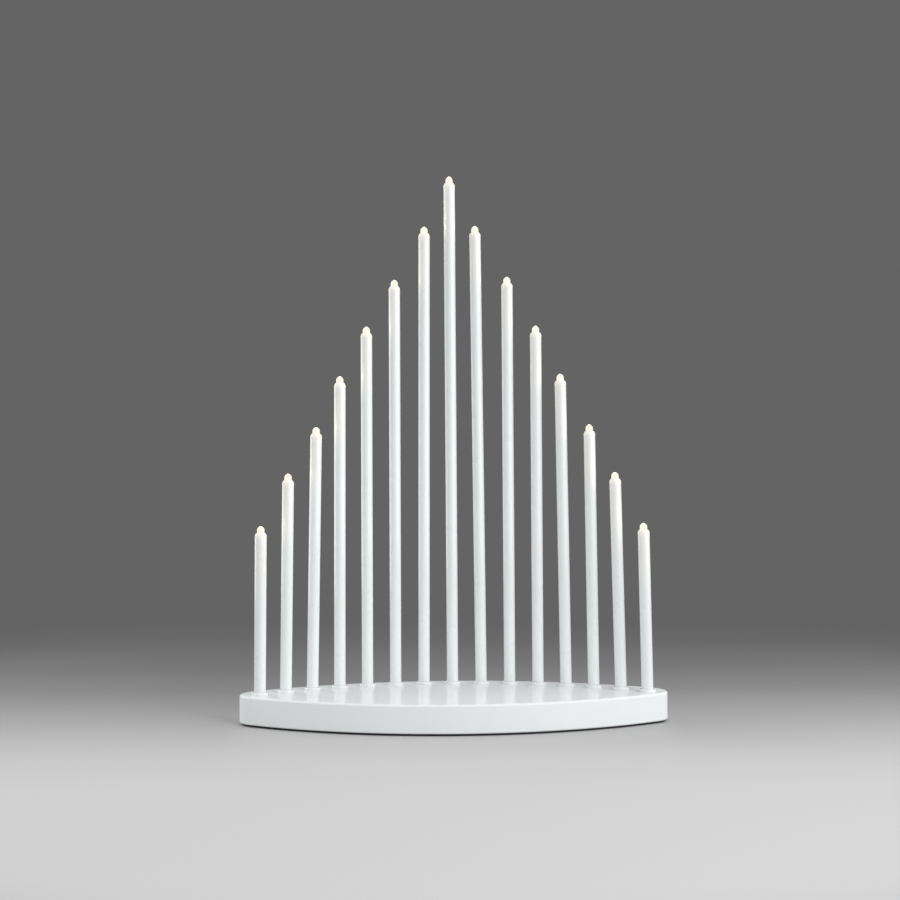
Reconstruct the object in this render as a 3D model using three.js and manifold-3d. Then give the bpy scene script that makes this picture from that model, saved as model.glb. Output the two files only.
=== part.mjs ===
// Electric advent candlestick: a row of white tubes in an arc on a lens-shaped base, each with a
// small light at its tip, fed by three cells under the base. Millimetres, +Z up, +Y to the back,
// origin at the middle of the underside.
import * as THREE from 'three';
import { mergeVertices } from 'three/addons/utils/BufferGeometryUtils.js';
import Module from 'manifold-3d';

const wasm = await Module();
wasm.setup();

// Clearances
const seatGap = 0.3; // between pieces seated on each other
const runGap = 0.35; // round pieces that move
const cutOver = 1; // how far a cut runs past the face that it opens

// Row of candles
const candleCount = 15;
const candlePitch = 20; // along the arc
const rowBackMargin = 15; // base's back edge to the middle candle
const rowEndForward = 5.9; // end candles stand this far in front of the base's middle line
const firstHeight = 112.8; // shell's top to the tip of the lowest light
const heightStep = 34.3; // each candle over the next one out
// Degrees that each tube leans to the right in its socket
const tubeLean = [
  0.6, 0.9, 1.1, 0.3, 0.1, 0.1, 0.3, -0.1,
  -0.5, -0.1, -0.1, -0.8, -0.7, -1.3, -1.1,
];
// How far each candle stands over or under its even step
const tubeOver = [
  0.3, 0.9, -1.8, -1.1, -0.8, -2.2, 0.9, 1.8,
  1.4, -0.2, -0.5, 0, -0.9, 0.8, 0.9,
];

// Light
const lightRadius = 2.5;
const lightLength = 7.6; // tip of the dome to the rim
const lightProud = 4.5; // tip of the dome over the cap
const lightGap = 0.2;
const rimOver = 0.35; // rim past the light's side
const rimHeight = 1;
const legSpacing = 2.54;
const legWidth = 0.5;
const legLength = 6;

// Tip cap and candle tube
const capShoulder = 2.9; // height of the part of the cap that shows
const capRounding = 1.9; // height of its rounded edge
const capLipWall = 0.4; // ring of cap round the light at its top
const spigotWall = 0.35;
const spigotLength = 6;
const spigotGap = 0.2;
const tubeWall = 0.4;

// Base shell, pressed from sheet, with its lower edge turned in
const endMargin = 14.4; // end candle to the nose of the base
const halfDepth = 53.3;
const noseRadius = 15.5;
const shellWall = 1.2;
const topRadius = 1.8;
const footRadius = 1.2;
const flangeWidth = 2.4;

// Bottom plate
const plateProud = 1.2; // holds the shell this far off the table
const plateInset = 1.6;
const plateThickness = 2;
const plateChamfer = 0.3;

// Socket rail
const collarWall = 1.35; // round the tube
const collarHeight = 2.1; // how far each socket stands out of the shell
const collarRounding = 1.1;
const railMargin = 0.35; // rail past the sockets
const railThickness = 3;
const socketFloor = 1.5;
const legRadius = 3;
const legEarRadius = 4.5;
const legOutside = 1.5; // middle of a leg past the edge of the rail
const backLegs = [2.5, 6.5]; // places along the row, in pitches from the middle
const frontLegs = [4.5];
const screwRadius = 1.3;
const screwDepth = 9;
const pilotRadius = 1.1;
const headSeatRadius = 2.8;
const headSink = 1.1; // depth of the seat of a screw's head

// Cells and battery bay
const cellRadius = 7.1;
const cellLength = 50.5; // with its nub
const nubRadius = 2.7;
const nubLength = 1.3;
const cellEdge = 0.4; // bevel
const cellGap = 0.4; // between two cells
const cellCount = 3;
const bayWall = 1.5;
const bayRoof = 1.2;
const bayHeadroom = 0.5; // bay's roof to the shell
const bayFrontMargin = 7.3; // base's front edge to the bay

// Battery cover
const coverLift = 0.4; // cover's outside over the table
const coverThickness = 1.8;
const trunnionRadius = 0.6;
const trunnionReach = 0.9; // length of trunnion inside the bay's wall
const latchWidth = 12;
const latchLength = 9;
const latchSlot = 0.8;
const scoopWidth = 14;
const scoopLength = 5;
const scoopDepth = 0.9;
const lipLength = 2.5;

// Contacts
const contactThickness = 0.4;
const contactHalfHeight = 4.5;
const contactHalfWidth = 5;
const springWire = 0.3; // radius
const springWide = 3.2;
const springNarrow = 2.4;
const springLength = 4.2;
const springTurns = 3.25;
const tabWidth = 3;
const tabReach = 2.2; // past the bay's wall

// Circuit board and slide switch
const boardBeside = 6; // bay's wall to the board
const boardLength = 40;
const boardWidth = 18;
const boardThickness = 1.2;
const boardBack = 0; // its back edge, in Y
const boardPost = 4.8; // height of the posts under it
const boardPostRadius = 1.8;
const boardPostInset = 3;
const chipAlong = 17; // places of the parts on the board, from its left edge to their middles
const chipSize = [6, 5, 1.6];
const resistorAlong = 26.6;
const resistorSize = [3.2, 1.6, 0.8];
const capacitorAlong = 33;
const capacitorRadius = 2.5;
const capacitorHeight = 6;
const switchAlong = 19;
const switchTravel = 4;
const housingHeight = 3.6;
const housingWall = 1;
const housingFloor = 0.7;
const headLength = 4.6;
const headWidth = 3.4;
const headHeight = 1.2;
const leverLength = 3;
const leverWidth = 2;
const leverLift = 0.35; // end of the lever over the table
const grooveCount = 3;
const grooveWidth = 0.4;
const grooveDepth = 0.3;
const pocketMargin = 2; // finger pocket round the lever's slot
const pocketDepth = 0.9;

// Wiring
const trunkRadius = 1.3;
const trunkHeadroom = 1.1;
const leadRadius = 1.1;
const supplyRadius = 0.8;
const branchAlong = 3; // pitches from the middle candle to where the board's lead leaves the trunk
const meetBehind = 6; // behind the board, where its leads meet
const meetOver = 2.5; // over the board
const meetBefore = 8; // last bend of the battery's lead before they meet
const branchForward = 10; // first bend of the trunk's lead, in front of its candle
const runLift = 3; // battery's lead over the plate

// Facets
const tubeSides = 16;
const capSides = 10;
const lightSides = 8;
const domeSteps = 3;
const roundSteps = 2;
const socketSides = 14;
const boreSides = 12;
const sideSteps = 18;
const noseSteps = 7;
const railSteps = 7;
const cellSides = 20;
const leadSides = 6;
const leadStepsPerSpan = 3;
const pinSides = 12;
const springSides = 5;
const springStepsPerTurn = 8;

// Radius of an arc of a given length that rises by a given amount from its ends to its middle, by halving
function arcRadius(halfArc, rise) {
  const halvings = 60;
  let low = halfArc / Math.PI;
  let high = (halfArc * halfArc) / rise;
  for (let turn = 0; turn < halvings; turn += 1) {
    const middle = (low + high) / 2;
    if (middle * (1 - Math.cos(halfArc / middle)) > rise) low = middle;
    else high = middle;
  }
  return (low + high) / 2;
}

// Across a candle, from the light outwards
const rimRadius = lightRadius + rimOver;
const rimBore = rimRadius + lightGap;
const spigotRadius = rimBore + spigotWall;
const tubeBore = spigotRadius + spigotGap;
const tubeRadius = tubeBore + tubeWall;
const socketBoreRadius = tubeRadius + seatGap;
const collarRadius = socketBoreRadius + collarWall;
const railHalfWidth = collarRadius + railMargin;
const legOffset = railHalfWidth + legOutside;

// Row
const middleIndex = (candleCount - 1) / 2;
const rowBack = halfDepth - rowBackMargin;
const rowRadius = arcRadius(middleIndex * candlePitch, rowBack + rowEndForward);
const rowCentre = rowBack - rowRadius;
const rowAngle = (middleIndex * candlePitch) / rowRadius;

// Outline of the base: two wide arcs joined by a nose at each end
const halfLength = rowRadius * Math.sin(rowAngle) + endMargin;
const noseCentre = halfLength - noseRadius;
const sideRadius = (noseCentre ** 2 + halfDepth ** 2 - noseRadius ** 2) / (2 * (halfDepth - noseRadius));
const sideCentre = sideRadius - halfDepth;
const noseAngle = Math.atan2(sideCentre, noseCentre);

// Heights
const coverTop = coverLift + coverThickness;
const cellAxis = coverTop + runGap + cellRadius;
const roofLow = cellAxis + cellRadius + runGap;
const ceiling = roofLow + bayRoof + bayHeadroom;
const baseHeight = ceiling + shellWall;
const trunkHeight = plateThickness + seatGap + trunkRadius;
const socketLow = trunkHeight + trunkRadius + trunkHeadroom;
const tubeFoot = socketLow + socketFloor + seatGap;

// Battery bay
const cellPitch = 2 * cellRadius + cellGap;
const bayHalfWidth = (cellCount * cellPitch - cellGap) / 2 + seatGap;
const bayHalfLength = (cellLength + springLength) / 2 + contactThickness + 2 * seatGap;
const bayMiddle = bayFrontMargin - halfDepth + bayHalfWidth + bayWall;

// Cover's trunnions
const pivotRadius = coverThickness / 2;
const pivotX = runGap + pivotRadius - bayHalfLength;
const pivotZ = coverLift + pivotRadius;

// Board and switch
const boardLow = plateThickness + boardPost;
const boardTop = boardLow + boardThickness;
const boardLeft = bayHalfLength + bayWall + boardBeside;
const boardRight = boardLeft + boardLength;
const boardMiddle = boardBack - boardWidth / 2;
const switchX = boardLeft + switchAlong;
const housingLow = boardLow - housingHeight;
const chamberLow = housingLow + housingFloor;
const leverRoom = (leverLength + switchTravel) / 2 + runGap;
const leverRoomWide = leverWidth / 2 + runGap;

const white = { color: 0xf1f2f1, roughness: 0.22, metalness: 0 };
const finishes = {
  lacquer: white,
  tube: { ...white, roughness: 0.3 },
  socket: { ...white, roughness: 0.35 },
  cap: { color: 0xfaf8f2, roughness: 0.4, metalness: 0 },
  light: { color: 0xfff6dc, roughness: 0.15, metalness: 0, emissive: 0xffe9b8 },
  black: { color: 0x0d0d0e, roughness: 0.6, metalness: 0 },
  knob: { color: 0x2a2a2c, roughness: 0.5, metalness: 0 },
  cell: { color: 0x8f9498, roughness: 0.35, metalness: 0.8 },
  contact: { color: 0xc9ccd0, roughness: 0.3, metalness: 1 },
  board: { color: 0x1f5a36, roughness: 0.45, metalness: 0 },
  housing: { color: 0xb9bcc0, roughness: 0.35, metalness: 0.9 },
  wire: { color: 0xd9d9d6, roughness: 0.6, metalness: 0 },
};

// A closed geometry as a solid that can be joined and cut, its faces turned outwards
function solidOf(geometry) {
  const bare = new THREE.BufferGeometry();
  bare.setAttribute('position', geometry.getAttribute('position'));
  bare.setIndex(geometry.getIndex());
  const welded = mergeVertices(bare);
  const at = welded.getAttribute('position');
  const corners = welded.getIndex().array;
  const triangles = [];
  let volume = 0;
  for (let i = 0; i < corners.length; i += 3) {
    const [a, b, c] = corners.subarray(i, i + 3);
    if (a === b || b === c || c === a) continue;
    const [p, q, r] = [a, b, c].map((n) => new THREE.Vector3().fromBufferAttribute(at, n));
    volume += p.dot(q.cross(r));
    triangles.push([a, b, c]);
  }
  const outward = volume < 0 ? triangles.map(([a, b, c]) => [a, c, b]) : triangles;
  return new wasm.Manifold(
    new wasm.Mesh({
      numProp: 3,
      vertProperties: new Float32Array(at.array),
      triVerts: new Uint32Array(outward.flat()),
    }),
  );
}

function geometryOf(solid) {
  const { vertProperties, triVerts } = solid.getMesh();
  const geometry = new THREE.BufferGeometry();
  geometry.setAttribute('position', new THREE.BufferAttribute(new Float32Array(vertProperties), 3));
  geometry.setIndex(new THREE.BufferAttribute(new Uint32Array(triVerts), 1));
  geometry.computeVertexNormals();
  return geometry;
}

const joined = (solids) => solids.reduce((all, next) => all.add(next));
const cutBy = (solid, cutters) => cutters.reduce((rest, cutter) => rest.subtract(cutter), solid);

// A box between two values on each axis, given in either order
function block([fromX, toX], [fromY, toY], [fromZ, toZ]) {
  const size = [toX - fromX, toY - fromY, toZ - fromZ].map(Math.abs);
  const box = new THREE.BoxGeometry(...size);
  return solidOf(box.translate((fromX + toX) / 2, (fromY + toY) / 2, (fromZ + toZ) / 2));
}

// The two ends of a stretch about its middle
const about = (middle, half) => [middle - half, middle + half];

// A profile of [radius, height] pairs turned about the Z axis
function turnedGeometry(profile, sides) {
  const points = profile.map(([radius, height]) => new THREE.Vector2(radius, height));
  return new THREE.LatheGeometry(points, sides).rotateX(Math.PI / 2);
}

function post(x, y, radius, low, high, sides = socketSides) {
  const cylinder = new THREE.CylinderGeometry(radius, radius, high - low, sides).rotateX(Math.PI / 2);
  return solidOf(cylinder.translate(x, y, (low + high) / 2));
}

// Quarter round from straight up to straight in, as [inwards, upwards] shares of its radius
function quarterRound(steps) {
  return Array.from({ length: steps + 1 }, (unused, step) => {
    const angle = (step / steps) * (Math.PI / 2);
    return [1 - Math.cos(angle), Math.sin(angle)];
  });
}

// Points of the base's outline, moved inwards by an inset
function lensPoints(inset) {
  const arcs = [
    [0, sideCentre, sideRadius, noseAngle - Math.PI, -noseAngle, sideSteps],
    [noseCentre, 0, noseRadius, -noseAngle, noseAngle, noseSteps],
    [0, -sideCentre, sideRadius, noseAngle, Math.PI - noseAngle, sideSteps],
    [-noseCentre, 0, noseRadius, Math.PI - noseAngle, Math.PI + noseAngle, noseSteps],
  ];
  return arcs.flatMap(([x, y, radius, from, to, steps]) =>
    Array.from({ length: steps }, (unused, step) => {
      const angle = from + ((to - from) * step) / steps;
      const reach = radius - inset;
      return new THREE.Vector2(x + reach * Math.cos(angle), y + reach * Math.sin(angle));
    }),
  );
}

// A lens-shaped solid through levels of [inset, height], from the lowest to the highest
function lensSolid(levels) {
  const rings = levels.map(([inset, height]) => lensPoints(inset).map((p) => [p.x, p.y, height]));
  const count = rings[0].length;
  const faces = [];
  for (let level = 1; level < rings.length; level += 1) {
    const below = (level - 1) * count;
    for (let i = 0; i < count; i += 1) {
      const next = (i + 1) % count;
      faces.push(below + i, below + next, below + count + next);
      faces.push(below + i, below + count + next, below + count + i);
    }
  }
  const top = (rings.length - 1) * count;
  const contour = lensPoints(levels[0][0]);
  for (const [a, b, c] of THREE.ShapeUtils.triangulateShape(contour, [])) {
    faces.push(a, c, b);
    faces.push(top + a, top + b, top + c);
  }
  const geometry = new THREE.BufferGeometry();
  geometry.setAttribute('position', new THREE.Float32BufferAttribute(rings.flat(2), 3));
  geometry.setIndex(faces);
  return solidOf(geometry);
}

// A round lead through points, with a smooth bend at each
function leadThrough(points, radius, sides, stepsPerSpan) {
  const ring = Array.from({ length: sides }, (unused, side) => {
    const angle = (2 * Math.PI * side) / sides;
    return new THREE.Vector2(radius * Math.cos(angle), radius * Math.sin(angle));
  });
  const path = new THREE.CatmullRomCurve3(points.map(([x, y, z]) => new THREE.Vector3(x, y, z)));
  const steps = (points.length - 1) * stepsPerSpan;
  const options = { steps, bevelEnabled: false, extrudePath: path };
  return solidOf(new THREE.ExtrudeGeometry(new THREE.Shape(ring), options));
}

// Where candle number index stands, its lean and the height of its tip over the shell
function candlePlace(index) {
  const fromMiddle = index - middleIndex;
  const angle = (fromMiddle * candlePitch) / rowRadius;
  return {
    x: rowRadius * Math.sin(angle),
    y: rowCentre + rowRadius * Math.cos(angle),
    lean: THREE.MathUtils.degToRad(tubeLean[index] ?? 0),
    tip: firstHeight + heightStep * (middleIndex - Math.abs(fromMiddle)) + (tubeOver[index] ?? 0),
  };
}

const candles = Array.from({ length: candleCount }, (unused, index) => candlePlace(index));

// Puts a geometry that is drawn from the shell's top along a candle's own axis into its place
function alongCandle(geometry, candle) {
  const matrix = new THREE.Matrix4().makeRotationY(candle.lean).setPosition(candle.x, candle.y, baseHeight);
  return solidOf(geometry.applyMatrix4(matrix));
}

function rodGeometry(radius, low, high, sides) {
  const rod = new THREE.CylinderGeometry(radius, radius, high - low, sides).rotateX(Math.PI / 2);
  return rod.translate(0, 0, (low + high) / 2);
}

// Places beside the row, in pitches from the middle and millimetres across, for legs and their screws
function legPlaces() {
  const places = [
    ...backLegs.map((along) => [along, legOffset]),
    ...frontLegs.map((along) => [along, -legOffset]),
  ];
  return places.flatMap(([along, across]) =>
    [-1, 1].map((side) => {
      const angle = (side * along * candlePitch) / rowRadius;
      const reach = rowRadius + across;
      return [reach * Math.sin(angle), rowCentre + reach * Math.cos(angle)];
    }),
  );
}

const legs = legPlaces();

function baseShell() {
  const rounding = quarterRound(roundSteps);
  const foot = rounding.map(([low, up]) => [footRadius * (1 - up), plateProud + footRadius * low]);
  const top = quarterRound(roundSteps + 1).map(([inwards, up]) => [
    topRadius * inwards,
    baseHeight - topRadius * (1 - up),
  ]);
  const innerRadius = Math.max(topRadius - shellWall, seatGap);
  const innerTop = rounding.map(([inwards, up]) => [
    shellWall + innerRadius * inwards,
    ceiling - innerRadius * (1 - up),
  ]);
  const mouth = lensSolid([
    [flangeWidth, plateProud - cutOver],
    [flangeWidth, plateProud + 2 * shellWall],
  ]);
  const hollow = lensSolid([[shellWall, plateProud + shellWall], ...innerTop]);
  const holeRadius = collarRadius + seatGap;
  const holes = candles.map(({ x, y }) => post(x, y, holeRadius, ceiling - cutOver, baseHeight + cutOver));
  return cutBy(lensSolid([...foot, ...top]), [hollow, mouth, ...holes]);
}

function socket({ x, y }) {
  const top = baseHeight + collarHeight;
  const edge = quarterRound(1).map(([inwards, up]) => [
    collarRadius - collarRounding * inwards,
    top - collarRounding * (1 - up),
  ]);
  const profile = [[0, socketLow], [collarRadius, socketLow], ...edge, [0, top]];
  return solidOf(turnedGeometry(profile, socketSides).translate(x, y, 0));
}

function socketBore(candle) {
  const low = tubeFoot - seatGap - baseHeight;
  return alongCandle(rodGeometry(socketBoreRadius, low, collarHeight + cutOver, boreSides), candle);
}

function socketLeadHole(candle) {
  const low = socketLow - cutOver - baseHeight;
  return alongCandle(rodGeometry(leadRadius + seatGap, low, 0, leadSides), candle);
}

function socketRail() {
  const high = ceiling - seatGap;
  const low = high - railThickness;
  const shape = new THREE.Shape();
  const [from, to] = [Math.PI / 2 - rowAngle, Math.PI / 2 + rowAngle];
  shape.absarc(0, rowCentre, rowRadius + railHalfWidth, from, to, false);
  shape.absarc(0, rowCentre, rowRadius - railHalfWidth, to, from, true);
  const options = { depth: railThickness, bevelEnabled: false, curveSegments: railSteps };
  const bar = new THREE.ExtrudeGeometry(shape, options);
  const holeTop = plateThickness + screwDepth;
  const body = joined([
    solidOf(bar.translate(0, 0, low)),
    ...candles.map(socket),
    ...legs.map(([x, y]) => post(x, y, legEarRadius, low, high)),
    ...legs.map(([x, y]) => post(x, y, legRadius, plateThickness, high - railThickness / 2)),
  ]);
  return cutBy(body, [
    ...candles.map(socketBore),
    ...candles.map(socketLeadHole),
    ...legs.map(([x, y]) => post(x, y, pilotRadius, plateThickness - cutOver, holeTop, leadSides)),
  ]);
}

// Where the positive end of each cell points: 1 is right and -1 is left, turn and turn about
const cells = Array.from({ length: cellCount }, (unused, index) => ({
  y: bayMiddle + (index - (cellCount - 1) / 2) * cellPitch,
  side: index % 2 === 0 ? 1 : -1,
}));

const firstCell = cells[0];
const lastCell = cells[cells.length - 1];
const tabHeight = cellAxis + contactHalfHeight - contactThickness;

// The slot in the bay's end wall for a contact's tab
function tabSlot(side, y) {
  const inner = bayHalfLength - cutOver;
  const outer = bayHalfLength + bayWall + cutOver;
  const high = tabHeight + contactThickness + seatGap;
  return block([side * inner, side * outer], about(y, tabWidth / 2 + seatGap), [tabHeight - seatGap, high]);
}

function boardPosts() {
  return [boardLeft + boardPostInset, boardRight - boardPostInset].flatMap((x) =>
    [boardBack - boardPostInset, boardBack - boardWidth + boardPostInset].map((y) =>
      post(x, y, boardPostRadius, plateThickness / 2, boardLow),
    ),
  );
}

// A box about the switch's middle, given its half length, half width, lowest and highest level
function aroundSwitch(half, wide, low, high) {
  return block(about(switchX, half), about(boardMiddle, wide), [low, high]);
}

// The lever's slot through the plate, with a pocket round it for a fingertip
function switchSlot() {
  return [
    aroundSwitch(leverRoom, leverRoomWide, -cutOver, plateThickness + cutOver),
    aroundSwitch(leverRoom + pocketMargin, leverRoomWide + pocketMargin, -cutOver, pocketDepth),
  ];
}

// A pin on the cover's axis, through both side walls of the bay
function trunnionPin(radius, reach) {
  const pin = new THREE.CylinderGeometry(radius, radius, 2 * (bayHalfWidth + reach), pinSides);
  return solidOf(pin.translate(pivotX, bayMiddle, pivotZ));
}

function bottomPlate() {
  const disc = lensSolid([
    [plateInset + plateChamfer, 0],
    [plateInset, plateChamfer],
    [plateInset, plateProud],
  ]);
  const step = lensSolid([
    [flangeWidth + seatGap, plateProud / 2],
    [flangeWidth + seatGap, plateThickness],
  ]);
  const bay = block(
    about(0, bayHalfLength + bayWall),
    about(bayMiddle, bayHalfWidth + bayWall),
    [plateProud / 2, roofLow + bayRoof],
  );
  const bayHollow = block(about(0, bayHalfLength), about(bayMiddle, bayHalfWidth), [-cutOver, roofLow]);
  const scoop = block(
    [bayHalfLength - cutOver, bayHalfLength + scoopLength],
    about(bayMiddle, scoopWidth / 2),
    [-cutOver, scoopDepth],
  );
  return cutBy(joined([disc, step, bay, ...boardPosts()]), [
    bayHollow,
    scoop,
    trunnionPin(trunnionRadius + seatGap, trunnionReach + seatGap),
    tabSlot(-firstCell.side, firstCell.y),
    tabSlot(lastCell.side, lastCell.y),
    ...switchSlot(),
    ...legs.map(([x, y]) => post(x, y, screwRadius, -cutOver, plateThickness + cutOver)),
    ...legs.map(([x, y]) => post(x, y, headSeatRadius, -cutOver, headSink)),
  ]);
}

// Panel with a rounded edge about its trunnions and a springy latch tongue at the other end
function batteryCover() {
  const right = bayHalfLength - runGap;
  const halfWidth = bayHalfWidth - runGap;
  const side = new THREE.Shape();
  side.moveTo(right, coverLift);
  side.lineTo(right, coverTop);
  side.absarc(pivotX, pivotZ, pivotRadius, Math.PI / 2, (3 * Math.PI) / 2, false);
  const options = { depth: 2 * halfWidth, bevelEnabled: false, curveSegments: roundSteps + 1 };
  const extruded = new THREE.ExtrudeGeometry(side, options).rotateX(Math.PI / 2);
  const panel = solidOf(extruded.translate(0, bayMiddle + halfWidth, 0));
  const end = right + cutOver;
  const slots = [-1, 1].map((turn) =>
    block(
      [right - latchLength, end],
      about(bayMiddle + (turn * latchWidth) / 2, latchSlot / 2),
      [coverLift - cutOver, coverTop + cutOver],
    ),
  );
  const lip = block(
    [right - lipLength, end],
    about(bayMiddle, (latchWidth - latchSlot) / 2 - latchSlot),
    [coverLift - cutOver, scoopDepth + seatGap],
  );
  return cutBy(panel.add(trunnionPin(trunnionRadius, trunnionReach)), [...slots, lip]);
}

// A cell lies along X with its nub a clearance away from the positive contact
function batteryCell({ y, side }) {
  const body = cellLength - nubLength;
  const profile = [
    [0, 0],
    [cellRadius - cellEdge, 0],
    [cellRadius, cellEdge],
    [cellRadius, body - cellEdge],
    [cellRadius - cellEdge, body],
    [nubRadius, body],
    [nubRadius, cellLength],
    [0, cellLength],
  ];
  const nubEnd = bayHalfLength - contactThickness - 2 * seatGap;
  const geometry = turnedGeometry(profile, cellSides).rotateY((side * Math.PI) / 2);
  return solidOf(geometry.translate(side * (nubEnd - cellLength), y, cellAxis));
}

// A flat contact against the bay's end wall, from one cell's middle to another's
function contactPlate(side, fromY, toY) {
  const outer = bayHalfLength - seatGap;
  return block(
    [side * outer, side * (outer - contactThickness)],
    [fromY - contactHalfWidth, toY + contactHalfWidth],
    about(cellAxis, contactHalfHeight),
  );
}

// Points of the narrowing spring that stands on a contact and presses on a cell's flat end
function springPoints(side, y) {
  const count = Math.round(springTurns * springStepsPerTurn);
  const root = bayHalfLength - seatGap - contactThickness / 2;
  const rise = springLength + contactThickness / 2 - springWire;
  return Array.from({ length: count + 1 }, (unused, step) => {
    const share = step / count;
    const angle = 2 * Math.PI * springTurns * share;
    const radius = springWide + (springNarrow - springWide) * share;
    const x = side * (root - rise * share);
    return [x, y + radius * Math.cos(angle), cellAxis + radius * Math.sin(angle)];
  });
}

// Least gap from the wire to itself, taken between points at least half a turn apart
function springSelfGap() {
  const points = springPoints(1, 0).map((p) => new THREE.Vector3(...p));
  let least = Infinity;
  points.forEach((p, i) => {
    points.slice(i + springStepsPerTurn / 2).forEach((q) => {
      least = Math.min(least, p.distanceTo(q) - 2 * springWire);
    });
  });
  return least;
}

function contactSpring(side, y) {
  return leadThrough(springPoints(side, y), springWire, springSides, 1);
}

function contactTab(side, y) {
  const inner = bayHalfLength - seatGap - contactThickness;
  const outer = bayHalfLength + bayWall + tabReach;
  const levels = [tabHeight, tabHeight + contactThickness];
  return block([side * inner, side * outer], about(y, tabWidth / 2), levels);
}

function bridgeContact(fromCell, toCell) {
  const { side } = fromCell;
  return contactPlate(side, fromCell.y, toCell.y).add(contactSpring(side, toCell.y));
}

// The board with the parts soldered on its top
function circuitBoard() {
  const board = block([boardLeft, boardRight], [boardBack - boardWidth, boardBack], [boardLow, boardTop]);
  const low = boardTop - boardThickness / 2;
  const onBoard = (along, [length, width, height]) =>
    block(about(boardLeft + along, length / 2), about(boardMiddle, width / 2), [low, boardTop + height]);
  const capacitorX = boardLeft + capacitorAlong;
  return joined([
    board,
    onBoard(chipAlong, chipSize),
    onBoard(resistorAlong, resistorSize),
    post(capacitorX, boardMiddle, capacitorRadius, low, boardTop + capacitorHeight),
  ]);
}

function switchHousing() {
  const chamberHalf = (headLength + switchTravel) / 2 + runGap;
  const chamberWide = headWidth / 2 + runGap;
  const chamberHigh = chamberLow + headHeight + 2 * runGap;
  const outside = aroundSwitch(chamberHalf + housingWall, chamberWide + housingWall, housingLow, boardLow);
  return cutBy(outside, [
    aroundSwitch(chamberHalf, chamberWide, chamberLow, chamberHigh),
    aroundSwitch(leverRoom, leverRoomWide, housingLow - cutOver, chamberLow + runGap),
  ]);
}

// At rest the knob is at the left end of its travel, which is ON
function switchKnob() {
  const x = switchX - switchTravel / 2;
  const headLow = chamberLow + runGap;
  const around = (middle, half, wide, low, high) =>
    block(about(middle, half), about(boardMiddle, wide), [low, high]);
  const head = around(x, headLength / 2, headWidth / 2, headLow, headLow + headHeight);
  const lever = around(x, leverLength / 2, leverWidth / 2, leverLift, headLow + headHeight / 2);
  const grooves = Array.from({ length: grooveCount }, (unused, index) => {
    const middle = x + (leverLength * (index - (grooveCount - 1) / 2)) / grooveCount;
    return around(middle, grooveWidth / 2, leverWidth, leverLift - cutOver, leverLift + grooveDepth);
  });
  return cutBy(head.add(lever), grooves);
}

// The lead that runs up inside a candle, from the trunk to just under the legs of its light
function candleLead(candle) {
  const low = trunkHeight - baseHeight;
  const high = candle.tip - lightLength - rimHeight - legLength - seatGap;
  return alongCandle(rodGeometry(leadRadius, low, high, leadSides), candle);
}

// Trunk under the sockets, a lead up each tube, and the leads from the trunk and the battery to the board
function wiringHarness() {
  const trunk = candles.map(({ x, y }) => [x, y, trunkHeight]);
  const branch = candles[Math.min(candleCount - 1, Math.round(middleIndex + branchAlong))];
  const meetX = switchX;
  const meet = [meetX, boardBack + meetBehind, boardTop + meetOver];
  const tabEnd = bayHalfLength + bayWall + tabReach + 2 * seatGap;
  const besideBay = bayHalfLength + bayWall + supplyRadius + 2 * seatGap;
  const behindBay = bayMiddle + bayHalfWidth + bayWall + supplyRadius + seatGap;
  const tabMiddle = tabHeight + contactThickness / 2;
  const runHeight = plateThickness + runLift;
  const fromNegative = [
    [-tabEnd, firstCell.y, tabMiddle],
    [-tabEnd - 1.5, firstCell.y, tabMiddle],
    [-tabEnd - 1, firstCell.y + 4, tabMiddle - 4],
    [-besideBay, bayMiddle, runHeight],
    [-besideBay, behindBay - 5, runHeight],
    [-besideBay - 0.3, behindBay - 1, runHeight],
    [-besideBay + 1, behindBay + 0.3, runHeight],
    [-besideBay + 5, behindBay, runHeight],
    [0, behindBay, runHeight],
    [boardLeft, behindBay + 2, runHeight],
    [meetX - meetBefore, boardBack + meetBehind, boardTop],
    meet,
  ];
  const fromPositive = [
    [tabEnd, lastCell.y, tabMiddle],
    [tabEnd + 1.5, lastCell.y, tabMiddle],
    [tabEnd + 3, lastCell.y + 4, tabMiddle - 0.5],
    [boardLeft + 4, boardBack + 3.5, boardTop + 3.5],
    meet,
  ];
  const fromTrunk = [
    [branch.x, branch.y, trunkHeight],
    [meetX + 1, branch.y - branchForward, trunkHeight + 1],
    meet,
    [meetX, boardBack - 1.5, boardTop + 3],
    [meetX, boardBack - 3, boardTop + 2 * seatGap],
  ];
  return joined([
    leadThrough(trunk, trunkRadius, leadSides, 1),
    ...candles.map(candleLead),
    leadThrough(fromNegative, supplyRadius, leadSides, leadStepsPerSpan),
    leadThrough(fromPositive, supplyRadius, leadSides, leadStepsPerSpan),
    leadThrough(fromTrunk, leadRadius, leadSides, leadStepsPerSpan),
  ]);
}

// In a candle's own frame, with its origin at the shell's top
function candleTube({ tip }) {
  const low = tubeFoot - baseHeight;
  const high = tip - lightProud - capShoulder - seatGap;
  const outside = [[tubeRadius, low], [tubeRadius, high]];
  return turnedGeometry([[tubeBore, low], ...outside, [tubeBore, high], [tubeBore, low]], tubeSides);
}

function tipCap({ tip }) {
  const top = tip - lightProud;
  const seat = top - capShoulder;
  const low = seat - spigotLength;
  const bore = lightRadius + lightGap;
  const lip = bore + capLipWall;
  const step = tip - lightLength + seatGap;
  const rounding = quarterRound(roundSteps).map(([inwards, up]) => [
    tubeRadius - (tubeRadius - lip) * inwards,
    top - capRounding * (1 - up),
  ]);
  const spigot = [[rimBore, low], [spigotRadius, low], [spigotRadius, seat], [tubeRadius, seat]];
  const inside = [[bore, top], [bore, step], [rimBore, step], [rimBore, low]];
  return turnedGeometry([...spigot, ...rounding, ...inside], capSides);
}

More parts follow.
